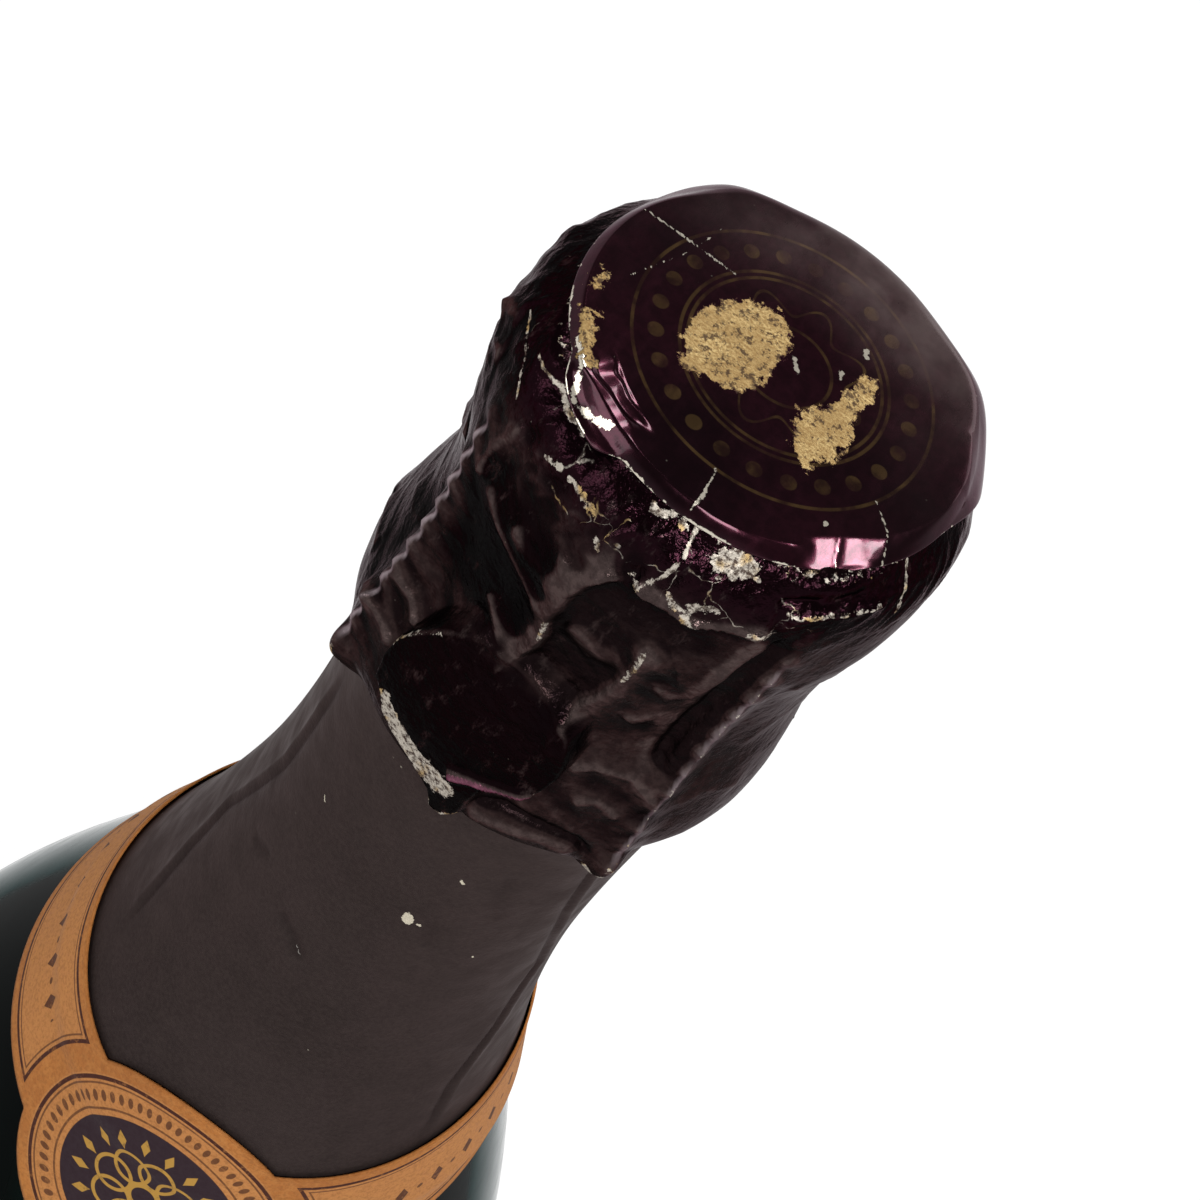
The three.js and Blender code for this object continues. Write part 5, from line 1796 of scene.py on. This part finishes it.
    def hood_wear(self, azimuth: Array, depth: Array, crest: Array) -> Array:
        """Worn places: the drawn scuffs, the teeth of the crests, the feet and the line along the disc.

        Args:
            azimuth: Azimuths from the front.
            depth: Depths.
            crest: Share of a leg's crest.

        Returns:
            Wear from 0 to 1.
        """
        wear = worn_by(hood_scuffs(), Chart(azimuth, depth, self.mm_per_degree))
        toothed = 0.5 + 0.5 * np.cos(2 * np.pi * (CAPSULE_TOP - depth) / self.tooth)
        side = mix(0.7, 1.25, smoothstep(-20.0, 20.0, azimuth))
        on_crest = side * smoothstep(0.86, 1.0, crest) * (0.1 + 0.26 * toothed) * smoothstep(5.0, 9.0, depth)
        foot = smoothstep(0.75, 1.0, crest) * smoothstep(35.0, 37.5, depth)
        foot = foot * mix(0.78, 0.56, smoothstep(-40.0, 0.0, azimuth))
        front = 0.55 + 0.45 * np.cos(np.radians(azimuth - 10.0))
        rim_line = np.clip(0.42 - (depth - 1.0) / 1.1, 0.0, 0.42) * front * (1 - self.dome(azimuth))
        return np.maximum.reduce([wear, on_crest, foot, np.broadcast_to(rim_line, wear.shape)])

    def hood_surface(self) -> Surface:
        """Outer and inner wall of the hood with its folds, worn places, gloss, and the fields for its painted
        shade and highlights.

        Returns:
            The surface, closed round the section and round the axis.
        """
        azimuth = self.azimuths()[None]
        radius, z = self.outline[:, :1], self.outline[:, 1:]
        depth = CAPSULE_TOP - z
        signed = turn_between(9.0, azimuth) + 9.0
        chart = Chart(signed, depth, self.mm_per_degree)
        away = np.radians(self.cage.leg_turn(azimuth)) * self.cage.bow / 2.1
        below = self.cage.belt_z - self.rim
        dip = (self.cage.eyelet + self.cage.wire + self.clearance - below) * bell(away, 1.0)
        low = z - dip * (1 - smoothstep(self.rim, self.glass.ring_top, z))
        tented, crest, teeth = self.over_legs(radius, z, low, azimuth)
        near_leg = bell(self.cage.leg_turn(azimuth), 9.0)
        under = 0.6 * self.dome(azimuth) * (1 - smoothstep(3.0, 5.0, depth)) * (1 - 0.8 * near_leg)
        drawn_in = 0.8 * self.crushed(self.disc_radius, azimuth) * (1 - smoothstep(1.5, 3.5, depth))
        formed, share = self.key_pocket(tented - under - drawn_in, signed, depth)
        calm = smoothstep(1.0, 3.0, depth) * (1 - 0.75 * share) * smoothstep(
            self.rim - 0.2, self.rim + 1.5, z
        )
        calm = calm * (1 - self.dome(azimuth) * (1 - smoothstep(4.0, 7.0, depth)))
        lift = self.crumple(azimuth, depth) * (1 - 0.5 * crest)
        lift = lift + self.crease_scale * lifted_by(hood_creases(), chart)
        away, side, along = self.ledge.measure(chart)
        lip = np.clip(1.0 - away / np.where(side > 0, 0.75, 0.6), 0.0, 1.0)
        lip = lip * smoothstep(0.0, 0.15, along * (1.0 - along) * 4.0)
        lift = np.maximum(lift * calm + 0.12 * bell(self.pocket.inside(chart), 0.25) + 0.5 * lip, -0.7)
        slope = np.gradient(self.outline, axis=0)
        slope /= np.linalg.norm(slope, axis=1)[:, None]
        out, up = -slope[:, 1:], slope[:, :1]
        girth = np.maximum(formed + lift * np.maximum(out, 0.0), self.over_wires(z, azimuth) - under)
        outer = polar(girth, azimuth, low + lift * np.maximum(up, 0.0) * 0.6)
        pick = np.unique(np.linspace(0, self.rows - 1, 20).astype(int))
        near = self.rows // 19 + 1
        padded = np.pad(np.hypot(outer[..., 0], outer[..., 1]), ((near, near), (0, 0)), mode="edge")
        lowest = np.lib.stride_tricks.sliding_window_view(padded, 2 * near + 1, axis=0).min(axis=-1)
        inner_radius = np.minimum(formed - self.foil, lowest - 0.12)[pick]
        inner_z = np.broadcast_to(low, formed.shape)[pick].copy()
        inner_z[0] -= self.foil
        inner = polar(inner_radius, azimuth, inner_z)
        flange = np.array([[self.top - self.foil], [self.top]])
        flange = polar(np.array([[self.edge - self.turn_in]] * 2), azimuth, flange)
        surface = Surface(np.concatenate([outer, inner[::-1], flange], axis=0), True, True)
        crackle = 0.5 * window(-48, -30, 34, 60, signed) * window(1.0, 2.0, 4.6, 7.5, depth)
        crackle = np.maximum(crackle, 0.3 * window(1.0, 2.0, 2.5, 6.0, depth))
        # Smooth faces: the key pocket, the left panel and the left flank; they are glossier, and darker as
        # painted shade.
        panel = window(-47, -39, -14, -6, signed) * window(6, 10, 19, 23, depth)
        flank = window(-120, -90, -56, -49, signed) * smoothstep(5, 8, depth)
        smooth = np.maximum.reduce([share * smoothstep(19, 23, depth), 0.9 * panel, 0.8 * flank])
        # Painted shade and highlight of the folds: lift above its neighbours' mean, the leg crests and their
        # teeth go lighter, hollows darker; tone sets how strongly, less at the back and near the top.
        ridge = smoothstep(0.82, 1.0, crest) * smoothstep(7.0, 10.0, depth)
        tone = smoothstep(2.5, 6.0, depth) * mix(0.45, 1.0, window(-84.0, -74.0, 90.0, 100.0, signed))
        # Painted highlight: a pale line along the crests over the legs.
        painted_crest_line = smoothstep(0.88, 0.97, crest) * window(7.0, 10.0, 34.0, 36.0, depth)
        hollow = np.minimum(0.0, 1.3 * (lift - local_mean(lift, 19, 29)))
        raised = 2.8 * (lift - local_mean(lift, 7, 11)) + 0.3 * ridge + 3.6 * teeth + hollow
        fields = {
            "wear": self.hood_wear(signed, depth, crest),
            "crackle": crackle,
            # gloss_and_shade: glossier, and darker lacquer as painted shade.
            "gloss_and_shade": 0.25 + 0.75 * smooth,
            "painted_crest_line": painted_crest_line * mix(1.0, 0.5, smoothstep(-10.0, 20.0, signed)),
            # crown is 1 at the crown and 2 on the key's lip, where the finish paints a pink highlight.
            "crown": np.maximum(1.0 - smoothstep(3.0, 8.0, depth), 2.0 * smoothstep(0.35, 0.7, lip)),
            # raised: below 0.5 painted shade, above it rubbed wear and painted highlight.
            "raised": 0.5 + raised * tone,
        }
        extra = surface.rows - self.rows
        for key, values in fields.items():
            spread = np.broadcast_to(values, formed.shape)
            surface.attributes[key] = np.vstack([spread, np.zeros((extra, formed.shape[1]))])
        surface.material_rows = np.concatenate([np.zeros(self.rows, int), np.ones(extra - 1, int), [0]])
        return surface

    def shoulder(self, radius: Array) -> Array:
        """Height of the hood's outline at a radius near its top, carried on straight inside its edge."""
        reach, z = self.outline[:40].T
        slope = (z[4] - z[0]) / (reach[4] - reach[0])
        return np.interp(radius, reach, z) + slope * np.minimum(0.0, radius - reach[0])

    def disc_height(self, radius: Array, azimuth: Array) -> Array:
        """Height of the disc: flat, then down a bevel at the front, or rounded into the shoulder behind.

        Args:
            radius: Radii.
            azimuth: Azimuths.

        Returns:
            Heights of the upper side without its relief. The rounding is the soft minimum
            -log(exp(-k a) + exp(-k b)) / k of the flat top and the shoulder.
        """
        top = self.top + self.disc_gap + self.foil
        drop = top - self.outline[0, 1] - 0.03
        start = mix(13.2, 12.2, bell(turn_between(54.0, azimuth), 22.0))
        fall = drop * np.clip((radius - start) / (self.disc_radius - start), 0, 1) ** 1.4
        turn = turn_between(45.0, azimuth)
        past = radius * np.cos(np.radians(turn)) - self.facet_start
        facet = drop / (self.disc_radius - self.facet_start) * np.logaddexp(0.0, 12.0 * past) / 12.0
        front = top - mix(fall, facet, 1 - smoothstep(6.0, 15.0, np.abs(turn)))
        front = front - 1.1 * np.maximum(0.0, radius - self.disc_radius)
        beside_leg = bell(self.cage.leg_turn(azimuth), 8.0) * self.crushed(radius, azimuth)
        front = np.minimum(front + beside_leg, top)
        near_leg = bell(self.cage.leg_turn(azimuth), 13.0) * smoothstep(11.0, 13.2, radius)
        beside = self.shoulder(radius) + 0.15 + 0.95 * near_leg
        sharp = 2.2
        rounded = top - np.log(1.0 + np.exp(sharp * (top - beside))) / sharp
        return mix(front, rounded, self.dome(azimuth))

    def crushed(self, radius: Array, azimuth: Array) -> Array:
        """Share of the crushed corner of the disc: an arc of its edge, front left."""
        return (1 - smoothstep(8.0, 17.0, np.abs(turn_between(-33.0, azimuth)))) * smoothstep(
            11.3, 11.8, radius
        )

    def disc_surface(self) -> Surface:
        """Round disc with wrinkles near its edge, and torn and worn places.

        Returns:
            The surface, closed round the axis.
        """
        bottom = self.top + self.disc_gap
        azimuth = np.linspace(0, 360, 440, endpoint=False)[None]
        turn = azimuth / 360.0
        dome = self.dome(azimuth)
        lap = self.disc_radius + self.lap * dome + 0.7 * self.crushed(self.disc_radius, azimuth)
        share = np.concatenate([np.linspace(0, 0.76, 58), np.linspace(0.766, 1.0, 54)])[:, None]
        radius = share * lap
        x, y = radius * np.sin(np.radians(azimuth)), -radius * np.cos(np.radians(azimuth))
        near_edge = smoothstep(9.5, 12.8, radius) * (1 - 0.6 * dome)
        spokes = lattice_noise(turn, radius * 0.6, 46, 4.0, 5)
        wide = lattice_noise(turn, radius, 9, 5.0, 6)
        scale = ((radius - 11.8 + 0.8 * lattice_noise(turn, radius, 34, 2.2, 11)
                  + 0.2 * lattice_noise(turn, radius, 90, 1.0, 12)) / 1.4) % 1.0
        scale = np.where(scale < 0.7, scale / 0.7, (1.0 - scale) / 0.3)
        relief = (0.02 * spokes + 0.03 * wide) * near_edge - 0.21 * scale * self.crushed(radius, azimuth)
        chart = Chart(x, -y)
        relief = (relief + lifted_by(self.disc_cracks(), chart)) * (1 - smoothstep(0.97, 1.0, share))
        upper = np.minimum(self.disc_height(radius, azimuth) + relief, bottom + self.foil)
        lower_share = np.array([[0.0], [0.4], [0.78], [0.84], [0.94], [0.975], [1.0]])
        lower_radius = np.minimum(
            lower_share * lap, np.where(lower_share < 0.9, self.edge - self.turn_in - 0.4, 99.0)
        )
        under = 0.04 + 0.35 * self.crushed(lower_radius, azimuth) * (lower_share < 0.99)
        lower_z = np.where(lower_share < 0.9, bottom - 0.3 * self.crushed(lower_radius, azimuth),
                           self.disc_height(lower_radius, azimuth) - under)
        grid = np.concatenate(
            [polar(lower_radius, azimuth, lower_z), polar(radius[::-1], azimuth, upper[::-1])], axis=0
        )
        surface = Surface(grid, close_columns=True)
        tear = worn_by(self.disc_patches(), chart)
        wear = worn_by(self.disc_scuffs(), chart)
        edge_line = smoothstep(0.988, 1.0, share) * (1 - dome)
        uneven = 0.5 + 0.3 * lattice_noise(turn, radius * 0, 60, 1.0, 13)
        wear = np.maximum(wear, edge_line * uneven * (0.8 + 0.3 * np.cos(np.radians(azimuth + 20.0))))
        # Back of the disc: painted sheen, with a rougher finish.
        haze_and_sheen = bell(turn_between(168.0, azimuth), 58.0) * window(3.0, 12.0, 13.0, 14.6, radius)
        filler = np.zeros((len(lower_share), azimuth.shape[1]))
        for key, values in {"tear": tear, "wear": wear, "haze_and_sheen": 0.85 * haze_and_sheen}.items():
            surface.attributes[key] = np.vstack([filler, values[::-1]])
        return surface

    @staticmethod
    def disc_patches() -> list[Patch]:
        """Places on the disc where the lacquer and foil are torn off, as x and distance towards the front."""
        outlines = [
            [(-5.8, 3.8), (-6.2, 1.3), (-5.8, -0.2), (-5.0, -1.9), (-3.6, -2.7), (-2.4, -3.4), (-0.8, -2.6),
                   (-0.4, 0.5), (-0.6, 3.1), (-2.2, 4.7), (-3.9, 5.2), (-5.1, 5.1)],
            [(3.1, 4.7), (2.3, 2.2), (3.7, 0.4), (4.1, -2.9), (5.0, -4.0), (5.6, -2.4), (5.2, -0.6),
             (6.1, 2.4),
                   (5.3, 4.0), (4.5, 5.8)],
            [(-12.4, 3.0), (-11.6, 3.2), (-11.5, 4.4), (-12.2, 4.6)],
            [(-11.6, 6.2), (-10.6, 6.4), (-9.8, 8.2), (-9.0, 9.8), (-9.8, 9.6), (-10.8, 8.0)],
        ]
        return [Patch(outline, soft=0.9) for outline in outlines]

    @staticmethod
    def disc_scuffs() -> list[Scuff]:
        """Scratches on the disc down to bright metal."""
        return [
            Scuff([(-12.8, -3.2), (-10.0, -3.4), (-5.9, -3.6)], 0.11),
            Scuff([(0.8, 13.5), (0.8, 12.4), (0.5, 10.2)], 0.14),
            Scuff([(8.6, 8.3), (9.6, 10.0)], 0.08),
            Scuff([(9.2, 4.3), (10.8, 5.7), (11.8, 7.5)], 0.09),
            Scuff([(3.4, -5.3), (3.7, -4.9)], 0.3),
            Scuff([(0.2, -0.9), (0.6, -0.3)], 0.28),
            Scuff([(2.9, -2.6), (3.1, -2.0)], 0.22),
            Scuff([(-9.4, 10.0), (-8.6, 11.6), (-7.2, 12.0), (-5.9, 12.2)], 0.28),
            Scuff([(-10.6, 8.4), (-9.6, 9.8)], 0.2),
            Scuff([(7.5, 8.2), (7.55, 8.4)], 0.16),
            Scuff([(-10.8, 2.1), (-8.9, -3.0), (-8.4, -6.5)], 0.06),
        ]

    @staticmethod
    def disc_cracks() -> list[Crease]:
        """Sharp folds of the disc."""
        return [
            Crease([(-13.0, -3.1), (-10.0, -3.4), (-5.9, -3.6)], 0.08, 0.2, 0.6),
            Crease([(0.9, 13.6), (0.8, 12.4), (0.5, 9.8)], 0.08, 0.25, 0.5),
            Crease([(9.2, 4.3), (10.8, 5.7), (11.9, 7.8)], 0.07, 0.2, 0.5),
            Crease([(8.3, 7.6), (9.7, 10.2)], 0.06, 0.2, 0.4),
            Crease([(11.6, -5.8), (13.9, -1.2)], 0.07, 0.3, 0.5),
            Crease([(-10.9, 2.4), (-8.7, -3.4), (-8.4, -6.5)], 0.05, 0.4, 0.4),
            Crease([(-9.6, 2.5), (-6.7, 4.0), (-3.7, 6.8)], 0.05, 0.3, 0.3),
        ]

    def build(self) -> list[bpy.types.Object]:
        """Make the hood and its disc and dress them."""
        hood = self.hood_surface().make(
            "foil_hood", Body.CAPSULE, "capsule_hood", "hood_foil",
            [HoodFoilFinish().make("hood_foil"), BareFoilFinish().make("foil_inside")])
        disc = self.disc_surface().make(
            "foil_top_disc", Body.CAPSULE, "capsule_top_disc", "disc_foil",
            [DiscFoilFinish().make("disc_foil")])
        return [hood, disc]


@dataclass
class NeckDressing:
    """Satin neck foil and the paper collar label with its medallion."""

    glass: GlassBottle
    cage: WireCage
    foil: float = 0.25
    gap: float = 0.3
    foil_top_drop: float = 14.8
    foil_length: float = 71.0
    flare: float = 0.95
    label: float = 0.25
    label_drop: float = 84.7
    band: float = 16.2
    dip: float = 5.0
    tilt: float = 2.5
    step: float = 4.0
    medallion: float = 15.5
    medallion_drop: float = 92.0
    medallion_azimuth: float = 1.5

    def __post_init__(self) -> None:
        """Work out the levels that follow from the sizes."""
        self.foil_top = self.glass.height - self.foil_top_drop
        self.foil_foot = self.foil_top - self.foil_length
        self.medallion_z = self.glass.height - self.medallion_drop
        self.medallion_girth = float(self.glass.radius(self.medallion_z))

    @staticmethod
    def folds() -> list[Crease]:
        """Lengthwise folds and dents of the neck foil."""
        soft = CreaseForm.SOFT
        return [
            Crease([(-53.0, 44.0), (-55.0, 63.0), (-66.0, 78.0), (-63.0, 86.0),
                    (-53.0, 101.0)], -0.32, 0.5, 0.5),
            Crease([(-56.5, 46.0), (-58.5, 63.0), (-69.0, 78.0), (-66.0, 86.0),
                    (-56.0, 101.0)], 0.28, 1.2, 0.6),
            Crease([(52.0, 41.0), (62.0, 56.0), (76.0, 71.0), (72.0, 82.0), (63.0, 91.0),
                    (60.0, 102.0)], -0.36, 0.4, 0.4),
            Crease([(55.0, 41.0), (65.0, 56.0), (79.0, 71.0), (75.0, 82.0), (66.0, 91.0),
                    (63.0, 102.0)], 0.32, 0.6, 1.4),
            Crease([(-20.1, 71.6), (-11.1, 72.6), (-4.6, 74.5)], -0.22, 0.7, 0.7, soft),
            Crease([(-45.0, 71.3), (-34.6, 68.9)], -0.2, 0.6, 0.6, soft),
            Crease([(20.0, 58.0), (24.0, 63.0)], -0.12, 0.8, 0.8, soft),
            Crease([(30.0, 47.0), (33.0, 52.0), (38.0, 56.0)], -0.12, 0.9, 0.9, soft),
            Crease([(120.0, 42.0), (128.0, 60.0), (124.0, 80.0), (130.0, 100.0)], -0.28, 0.5, 0.5),
            Crease([(-128.0, 42.0), (-122.0, 60.0), (-130.0, 82.0), (-126.0, 100.0)], -0.28, 0.5, 0.5),
            Crease([(172.0, 42.0), (176.0, 66.0), (170.0, 84.0)], 0.25, 1.0, 0.6),
        ]

    def foil_surface(self) -> Surface:
        """Skin over the glass, flared at its top up to the hood's rim, with folds, dents and chips.

        Returns:
            The surface, closed round the section and round the axis.
        """
        azimuth = np.linspace(-180, 180, 420, endpoint=False)[None]
        u = np.linspace(0, 1, 150)[:, None] ** 1.15
        near_leg = bell(self.cage.leg_turn(azimuth), 13.0)
        top = self.foil_top + 1.15 * (1 - np.minimum(1.0, 1.3 * near_leg))
        z = mix(top, self.foil_foot, u)
        depth = CAPSULE_TOP - z
        girth = self.glass.radius(z)
        inner_radius = girth + self.gap + self.flare * np.exp(-((top - z) / 3.2))
        pull = lattice_noise((azimuth % 360) / 360, depth, 14, 12.0, 17)
        lift = 0.05 * pull * smoothstep(0, 4, top - z)
        lift = lift + 0.1 * (1 - smoothstep(0, 9, top - z)) * lattice_noise(
            (azimuth % 360) / 360, depth, 34, 9.0, 19)
        chart = Chart(azimuth, depth, math.radians(15.5))
        raised = np.stack([fold.lift(chart) for fold in self.folds()])
        lift = lift + raised.sum(axis=0)
        crease = np.clip(-2.5 * raised.min(axis=0), 0, 1)
        lift = np.maximum(lift, -0.4) * smoothstep(0.0, 1.5, z - self.foil_foot)
        outer = polar(inner_radius + self.foil + lift, azimuth, z)
        pick = np.linspace(0, len(u) - 1, 9).astype(int)
        inner = polar(np.minimum(inner_radius, inner_radius + lift)[pick], azimuth, z[pick])
        surface = Surface(wall(outer, inner), True, True)
        chips = [
            Patch([(11.4, 58.6), (12.4, 58.2), (14.4, 58.8), (15.6, 59.6), (14.8, 60.3), (13.2, 60.2),
                   (11.8, 59.8)]),
            Scuff([(17.6, 59.6), (18.2, 59.9)], 0.25),
            Scuff([(18.6, 50.2), (19.8, 50.5)], 0.32),
            Scuff([(-31.8, 55.3), (-29.5, 55.9)], 0.16),
            Scuff([(40.0, 63.0), (40.6, 63.4)], 0.2),
        ]
        chip = worn_by(chips, Chart(azimuth, depth, math.radians(15.0)))
        filler = np.zeros((len(pick), azimuth.shape[1]))
        surface.attributes["chip"] = np.vstack([chip, filler])
        surface.attributes["crease"] = np.vstack([crease, filler])
        surface.material_rows = np.concatenate([np.zeros(len(u), int), np.ones(len(pick) - 1, int), [0]])
        return surface

    def band_middle(self, azimuth: Array) -> Array:
        """Height of the band's middle line: it dips at the front and leans to one side."""
        angle = np.radians(azimuth)
        return self.glass.height - self.label_drop - self.dip * np.cos(angle) + self.tilt * np.sin(angle)

    def label_edge(self, azimuth: Array, sign: float) -> Array:
        """Upper (sign 1) or lower (sign -1) edge: the band's, or the medallion's where that reaches further.

        Args:
            azimuth: Azimuths.
            sign: Which edge.

        Returns:
            Heights.
        """
        away = np.radians(turn_between(self.medallion_azimuth, azimuth)) * self.medallion_girth
        half = np.sqrt(np.maximum(0.0, self.medallion**2 - away**2))
        straight = self.band_middle(azimuth) + sign * self.band / 2
        rounded = np.where(half > 0, self.medallion_z + sign * half, straight)
        return sign * np.maximum(sign * straight, sign * rounded)

    def label_surface(self) -> Surface:
        """Paper collar over the foot of the foil, with maps that carry the print in millimetres.

        Returns:
            The surface, closed round the section and round the axis.
        """
        front = np.linspace(-45, 45, 260, endpoint=False)
        rest = np.linspace(45, 315, 260, endpoint=False)
        turn = np.concatenate([front, rest])[None]
        azimuth = self.medallion_azimuth + turn
        u = np.linspace(0, 1, 60)[:, None]
        upper, lower = self.label_edge(azimuth, 1.0), self.label_edge(azimuth, -1.0)
        z = mix(upper, lower, u)
        over = self.gap + self.foil + self.gap
        base = self.glass.radius(z) + mix(
            self.gap, over, smoothstep(self.foil_foot - self.step, self.foil_foot - 1, z)
        )
        cockle = 0.05 * lattice_noise((azimuth % 360) / 360, z, 26, 7.0, 23)
        outer = polar(base + self.label + cockle, azimuth, z)
        pick = np.linspace(0, len(u) - 1, 7).astype(int)
        inner = polar(base[pick], azimuth, z[pick])
        surface = Surface(wall(outer, inner), True, True)
        x = np.radians(turn_between(self.medallion_azimuth, azimuth)) * self.medallion_girth
        x = np.where(turn > 180.0, x + 2 * np.pi * self.medallion_girth, x)
        x = np.broadcast_to(x, z.shape)
        edge = np.minimum(upper - z, z - lower)
        flat = (x, z - self.medallion_z, edge, z - self.band_middle(azimuth))
        along, up, from_edge, from_middle = (np.vstack([a, a[pick][::-1]]) for a in flat)
        surface.maps["print"] = (along, up, 2 * np.pi * self.medallion_girth)
        surface.maps["band"] = (from_edge, from_middle, 0.0)
        return surface

    def build(self) -> list[bpy.types.Object]:
        """Make the neck foil and the collar label and dress them."""
        foil = self.foil_surface().make(
            "neck_foil_skin", Body.BOTTLE, "neck_foil", "neck_foil",
            [NeckFoilFinish().make("neck_foil"), BareFoilFinish().make("neck_foil_inside")])
        label = self.label_surface().make(
            "collar_paper", Body.BOTTLE, "collar_label", "label_paper", [LabelFinish().make("label_paper")])
        return [foil, label]


@dataclass(frozen=True)
class Lamp:
    """A rectangular studio light that points at a place on the bottle."""

    name: str
    place: tuple[float, float, float]
    size: tuple[float, float]
    watts: float
    target: tuple[float, float, float] = (0.0, 0.0, 0.29)

    def make(self) -> bpy.types.Object:
        """Add the light to the scene."""
        data = bpy.data.lights.new(self.name, "AREA")
        data.shape = "RECTANGLE"
        data.size, data.size_y = self.size
        data.energy = self.watts
        lamp = bpy.data.objects.new(self.name, data)
        bpy.context.scene.collection.objects.link(lamp)
        lamp.location = self.place
        way = Vector(self.target) - Vector(self.place)
        lamp.rotation_euler = way.to_track_quat("-Z", "Y").to_euler()
        lamp.visible_camera = False
        return lamp


@dataclass
class Studio:
    """Camera, floor, world and lights."""

    roll: float = 38.03
    pitch: float = 37.5
    focal: float = 2153.0
    picture: float = 1200.0
    sensor: float = 36.0
    distance: float = 155.0
    aim_depth: float = 30.05
    side_shift: float = -0.144
    floor_size: float = 40.0
    floor_grey: float = 0.8
    floor_glow: float = 1.12
    floor_glow_share: float = 0.8
    ambient: float = 0.18
    ceiling: float = 0.16

    def camera(self) -> None:
        """Place the camera: it looks down the front of the neck, rolled about its own axis."""
        roll, pitch = math.radians(self.roll), math.radians(self.pitch)
        ahead = Vector((0.0, math.sin(pitch), -math.cos(pitch)))
        down = Vector((0.0, -math.cos(pitch), -math.sin(pitch)))
        across = Vector((1.0, 0.0, 0.0))
        right = across * math.cos(roll) - down * math.sin(roll)
        up = -(across * math.sin(roll) + down * math.cos(roll))
        aim = Vector((self.side_shift, 0.0, CAPSULE_TOP - self.aim_depth))
        place = (aim - ahead * self.distance) * MM
        data = bpy.data.cameras.new("camera")
        data.sensor_width = self.sensor
        data.lens = self.focal / self.picture * self.sensor
        data.clip_start, data.clip_end = 0.005, 50.0
        camera = bpy.data.objects.new("camera", data)
        bpy.context.scene.collection.objects.link(camera)
        turned = Matrix((right, up, -ahead)).transposed().to_4x4()
        camera.matrix_world = Matrix.Translation(place) @ turned
        bpy.context.scene.camera = camera

    def floor(self) -> None:
        """Pale floor that shows almost white to the camera and keeps the bottle's shadow."""
        half = self.floor_size / 2
        mesh = bpy.data.meshes.new("floor")
        mesh.from_pydata(
            [(-half, -half, 0), (half, -half, 0), (half, half, 0), (-half, half, 0)], [], [(0, 1, 2, 3)]
        )
        n = Nodes("floor")
        path = n.add("ShaderNodeLightPath")
        seen = n.most(path.outputs["Is Camera Ray"], path.outputs["Is Glossy Ray"])
        seen = n.most(seen, path.outputs["Is Transmission Ray"])
        matt = n.add("ShaderNodeBsdfDiffuse")
        matt.inputs["Color"].default_value = (self.floor_grey, self.floor_grey, self.floor_grey, 1.0)
        glow = n.add("ShaderNodeEmission")
        both = n.add("ShaderNodeMixShader")
        glow.inputs["Strength"].default_value = self.floor_glow
        n.feed(both.inputs[0], n.times(seen, self.floor_glow_share))
        n.feed(both.inputs[1], matt.outputs[0])
        n.feed(both.inputs[2], glow.outputs[0])
        n.feed(n.end.inputs["Surface"], both.outputs[0])
        mesh.materials.append(n.material)
        ground = bpy.data.objects.new("floor", mesh)
        bpy.context.scene.collection.objects.link(ground)

    def world(self) -> None:
        """Even soft light; the camera and mirror-like surfaces see white walls and a darker ceiling."""
        world = bpy.data.worlds.new("studio")
        world.use_nodes = True
        bpy.context.scene.world = world
        tree = world.node_tree
        tree.nodes.clear()
        end = tree.nodes.new("ShaderNodeOutputWorld")
        soft, seen = (tree.nodes.new("ShaderNodeBackground") for _ in range(2))
        soft.inputs["Strength"].default_value = self.ambient
        for light in (soft, seen):
            light.inputs["Color"].default_value = (1.0, 1.0, 1.0, 1.0)
        both = tree.nodes.new("ShaderNodeMixShader")
        path = tree.nodes.new("ShaderNodeLightPath")
        where = tree.nodes.new("ShaderNodeTexCoord")
        split = tree.nodes.new("ShaderNodeSeparateXYZ")
        rise = tree.nodes.new("ShaderNodeMapRange")
        rise.interpolation_type = "SMOOTHSTEP"
        for socket, value in zip(list(rise.inputs)[1:5], (0.1, 0.45, 1.0, self.ceiling)):
            socket.default_value = value
        tree.links.new(where.outputs["Generated"], split.inputs[0])
        tree.links.new(split.outputs[2], rise.inputs[0])
        tree.links.new(rise.outputs[0], seen.inputs["Strength"])
        rays = path.outputs["Is Camera Ray"]
        for name in ("Is Glossy Ray", "Is Transmission Ray"):
            either = tree.nodes.new("ShaderNodeMath")
            either.operation = "MAXIMUM"
            tree.links.new(rays, either.inputs[0])
            tree.links.new(path.outputs[name], either.inputs[1])
            rays = either.outputs[0]
        tree.links.new(rays, both.inputs[0])
        tree.links.new(soft.outputs[0], both.inputs[1])
        tree.links.new(seen.outputs[0], both.inputs[2])
        tree.links.new(both.outputs[0], end.inputs["Surface"])

    def lamps(self) -> list[Lamp]:
        """Soft boxes above, in front and behind."""
        return [
            Lamp("key", (0.25, -0.6, 1.05), (0.3, 0.3), 7.5),
            Lamp("fill", (-0.665, -0.587, 0.672), (0.32, 0.32), 2.2),
            Lamp("back", (0.35, 0.85, 0.6), (0.5, 0.3), 1.2),
            Lamp("top_right", (0.596, 0.159, 1.2), (0.14, 0.14), 3.8),
            Lamp("top_left", (-0.248, 0.355, 1.2), (0.16, 0.16), 3.0),
        ]

    def build(self) -> None:
        """Set up everything round the bottle."""
        bpy.context.scene.view_settings.view_transform = "Standard"
        self.camera()
        self.floor()
        self.world()
        for lamp in self.lamps():
            lamp.make()


def main() -> None:
    """Build the studio and each sub-assembly in order, and report each piece."""
    logging.basicConfig(level=logging.INFO, format="%(name)s: %(message)s")
    Studio().build()
    glass = GlassBottle()
    cage = WireCage(glass)
    assemblies = [glass, cage, MushroomCork(glass, cage), FoilCapsule(glass, cage), NeckDressing(glass, cage)]
    for assembly in assemblies:
        for piece in assembly.build():
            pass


if __name__ == "__main__":
    main()
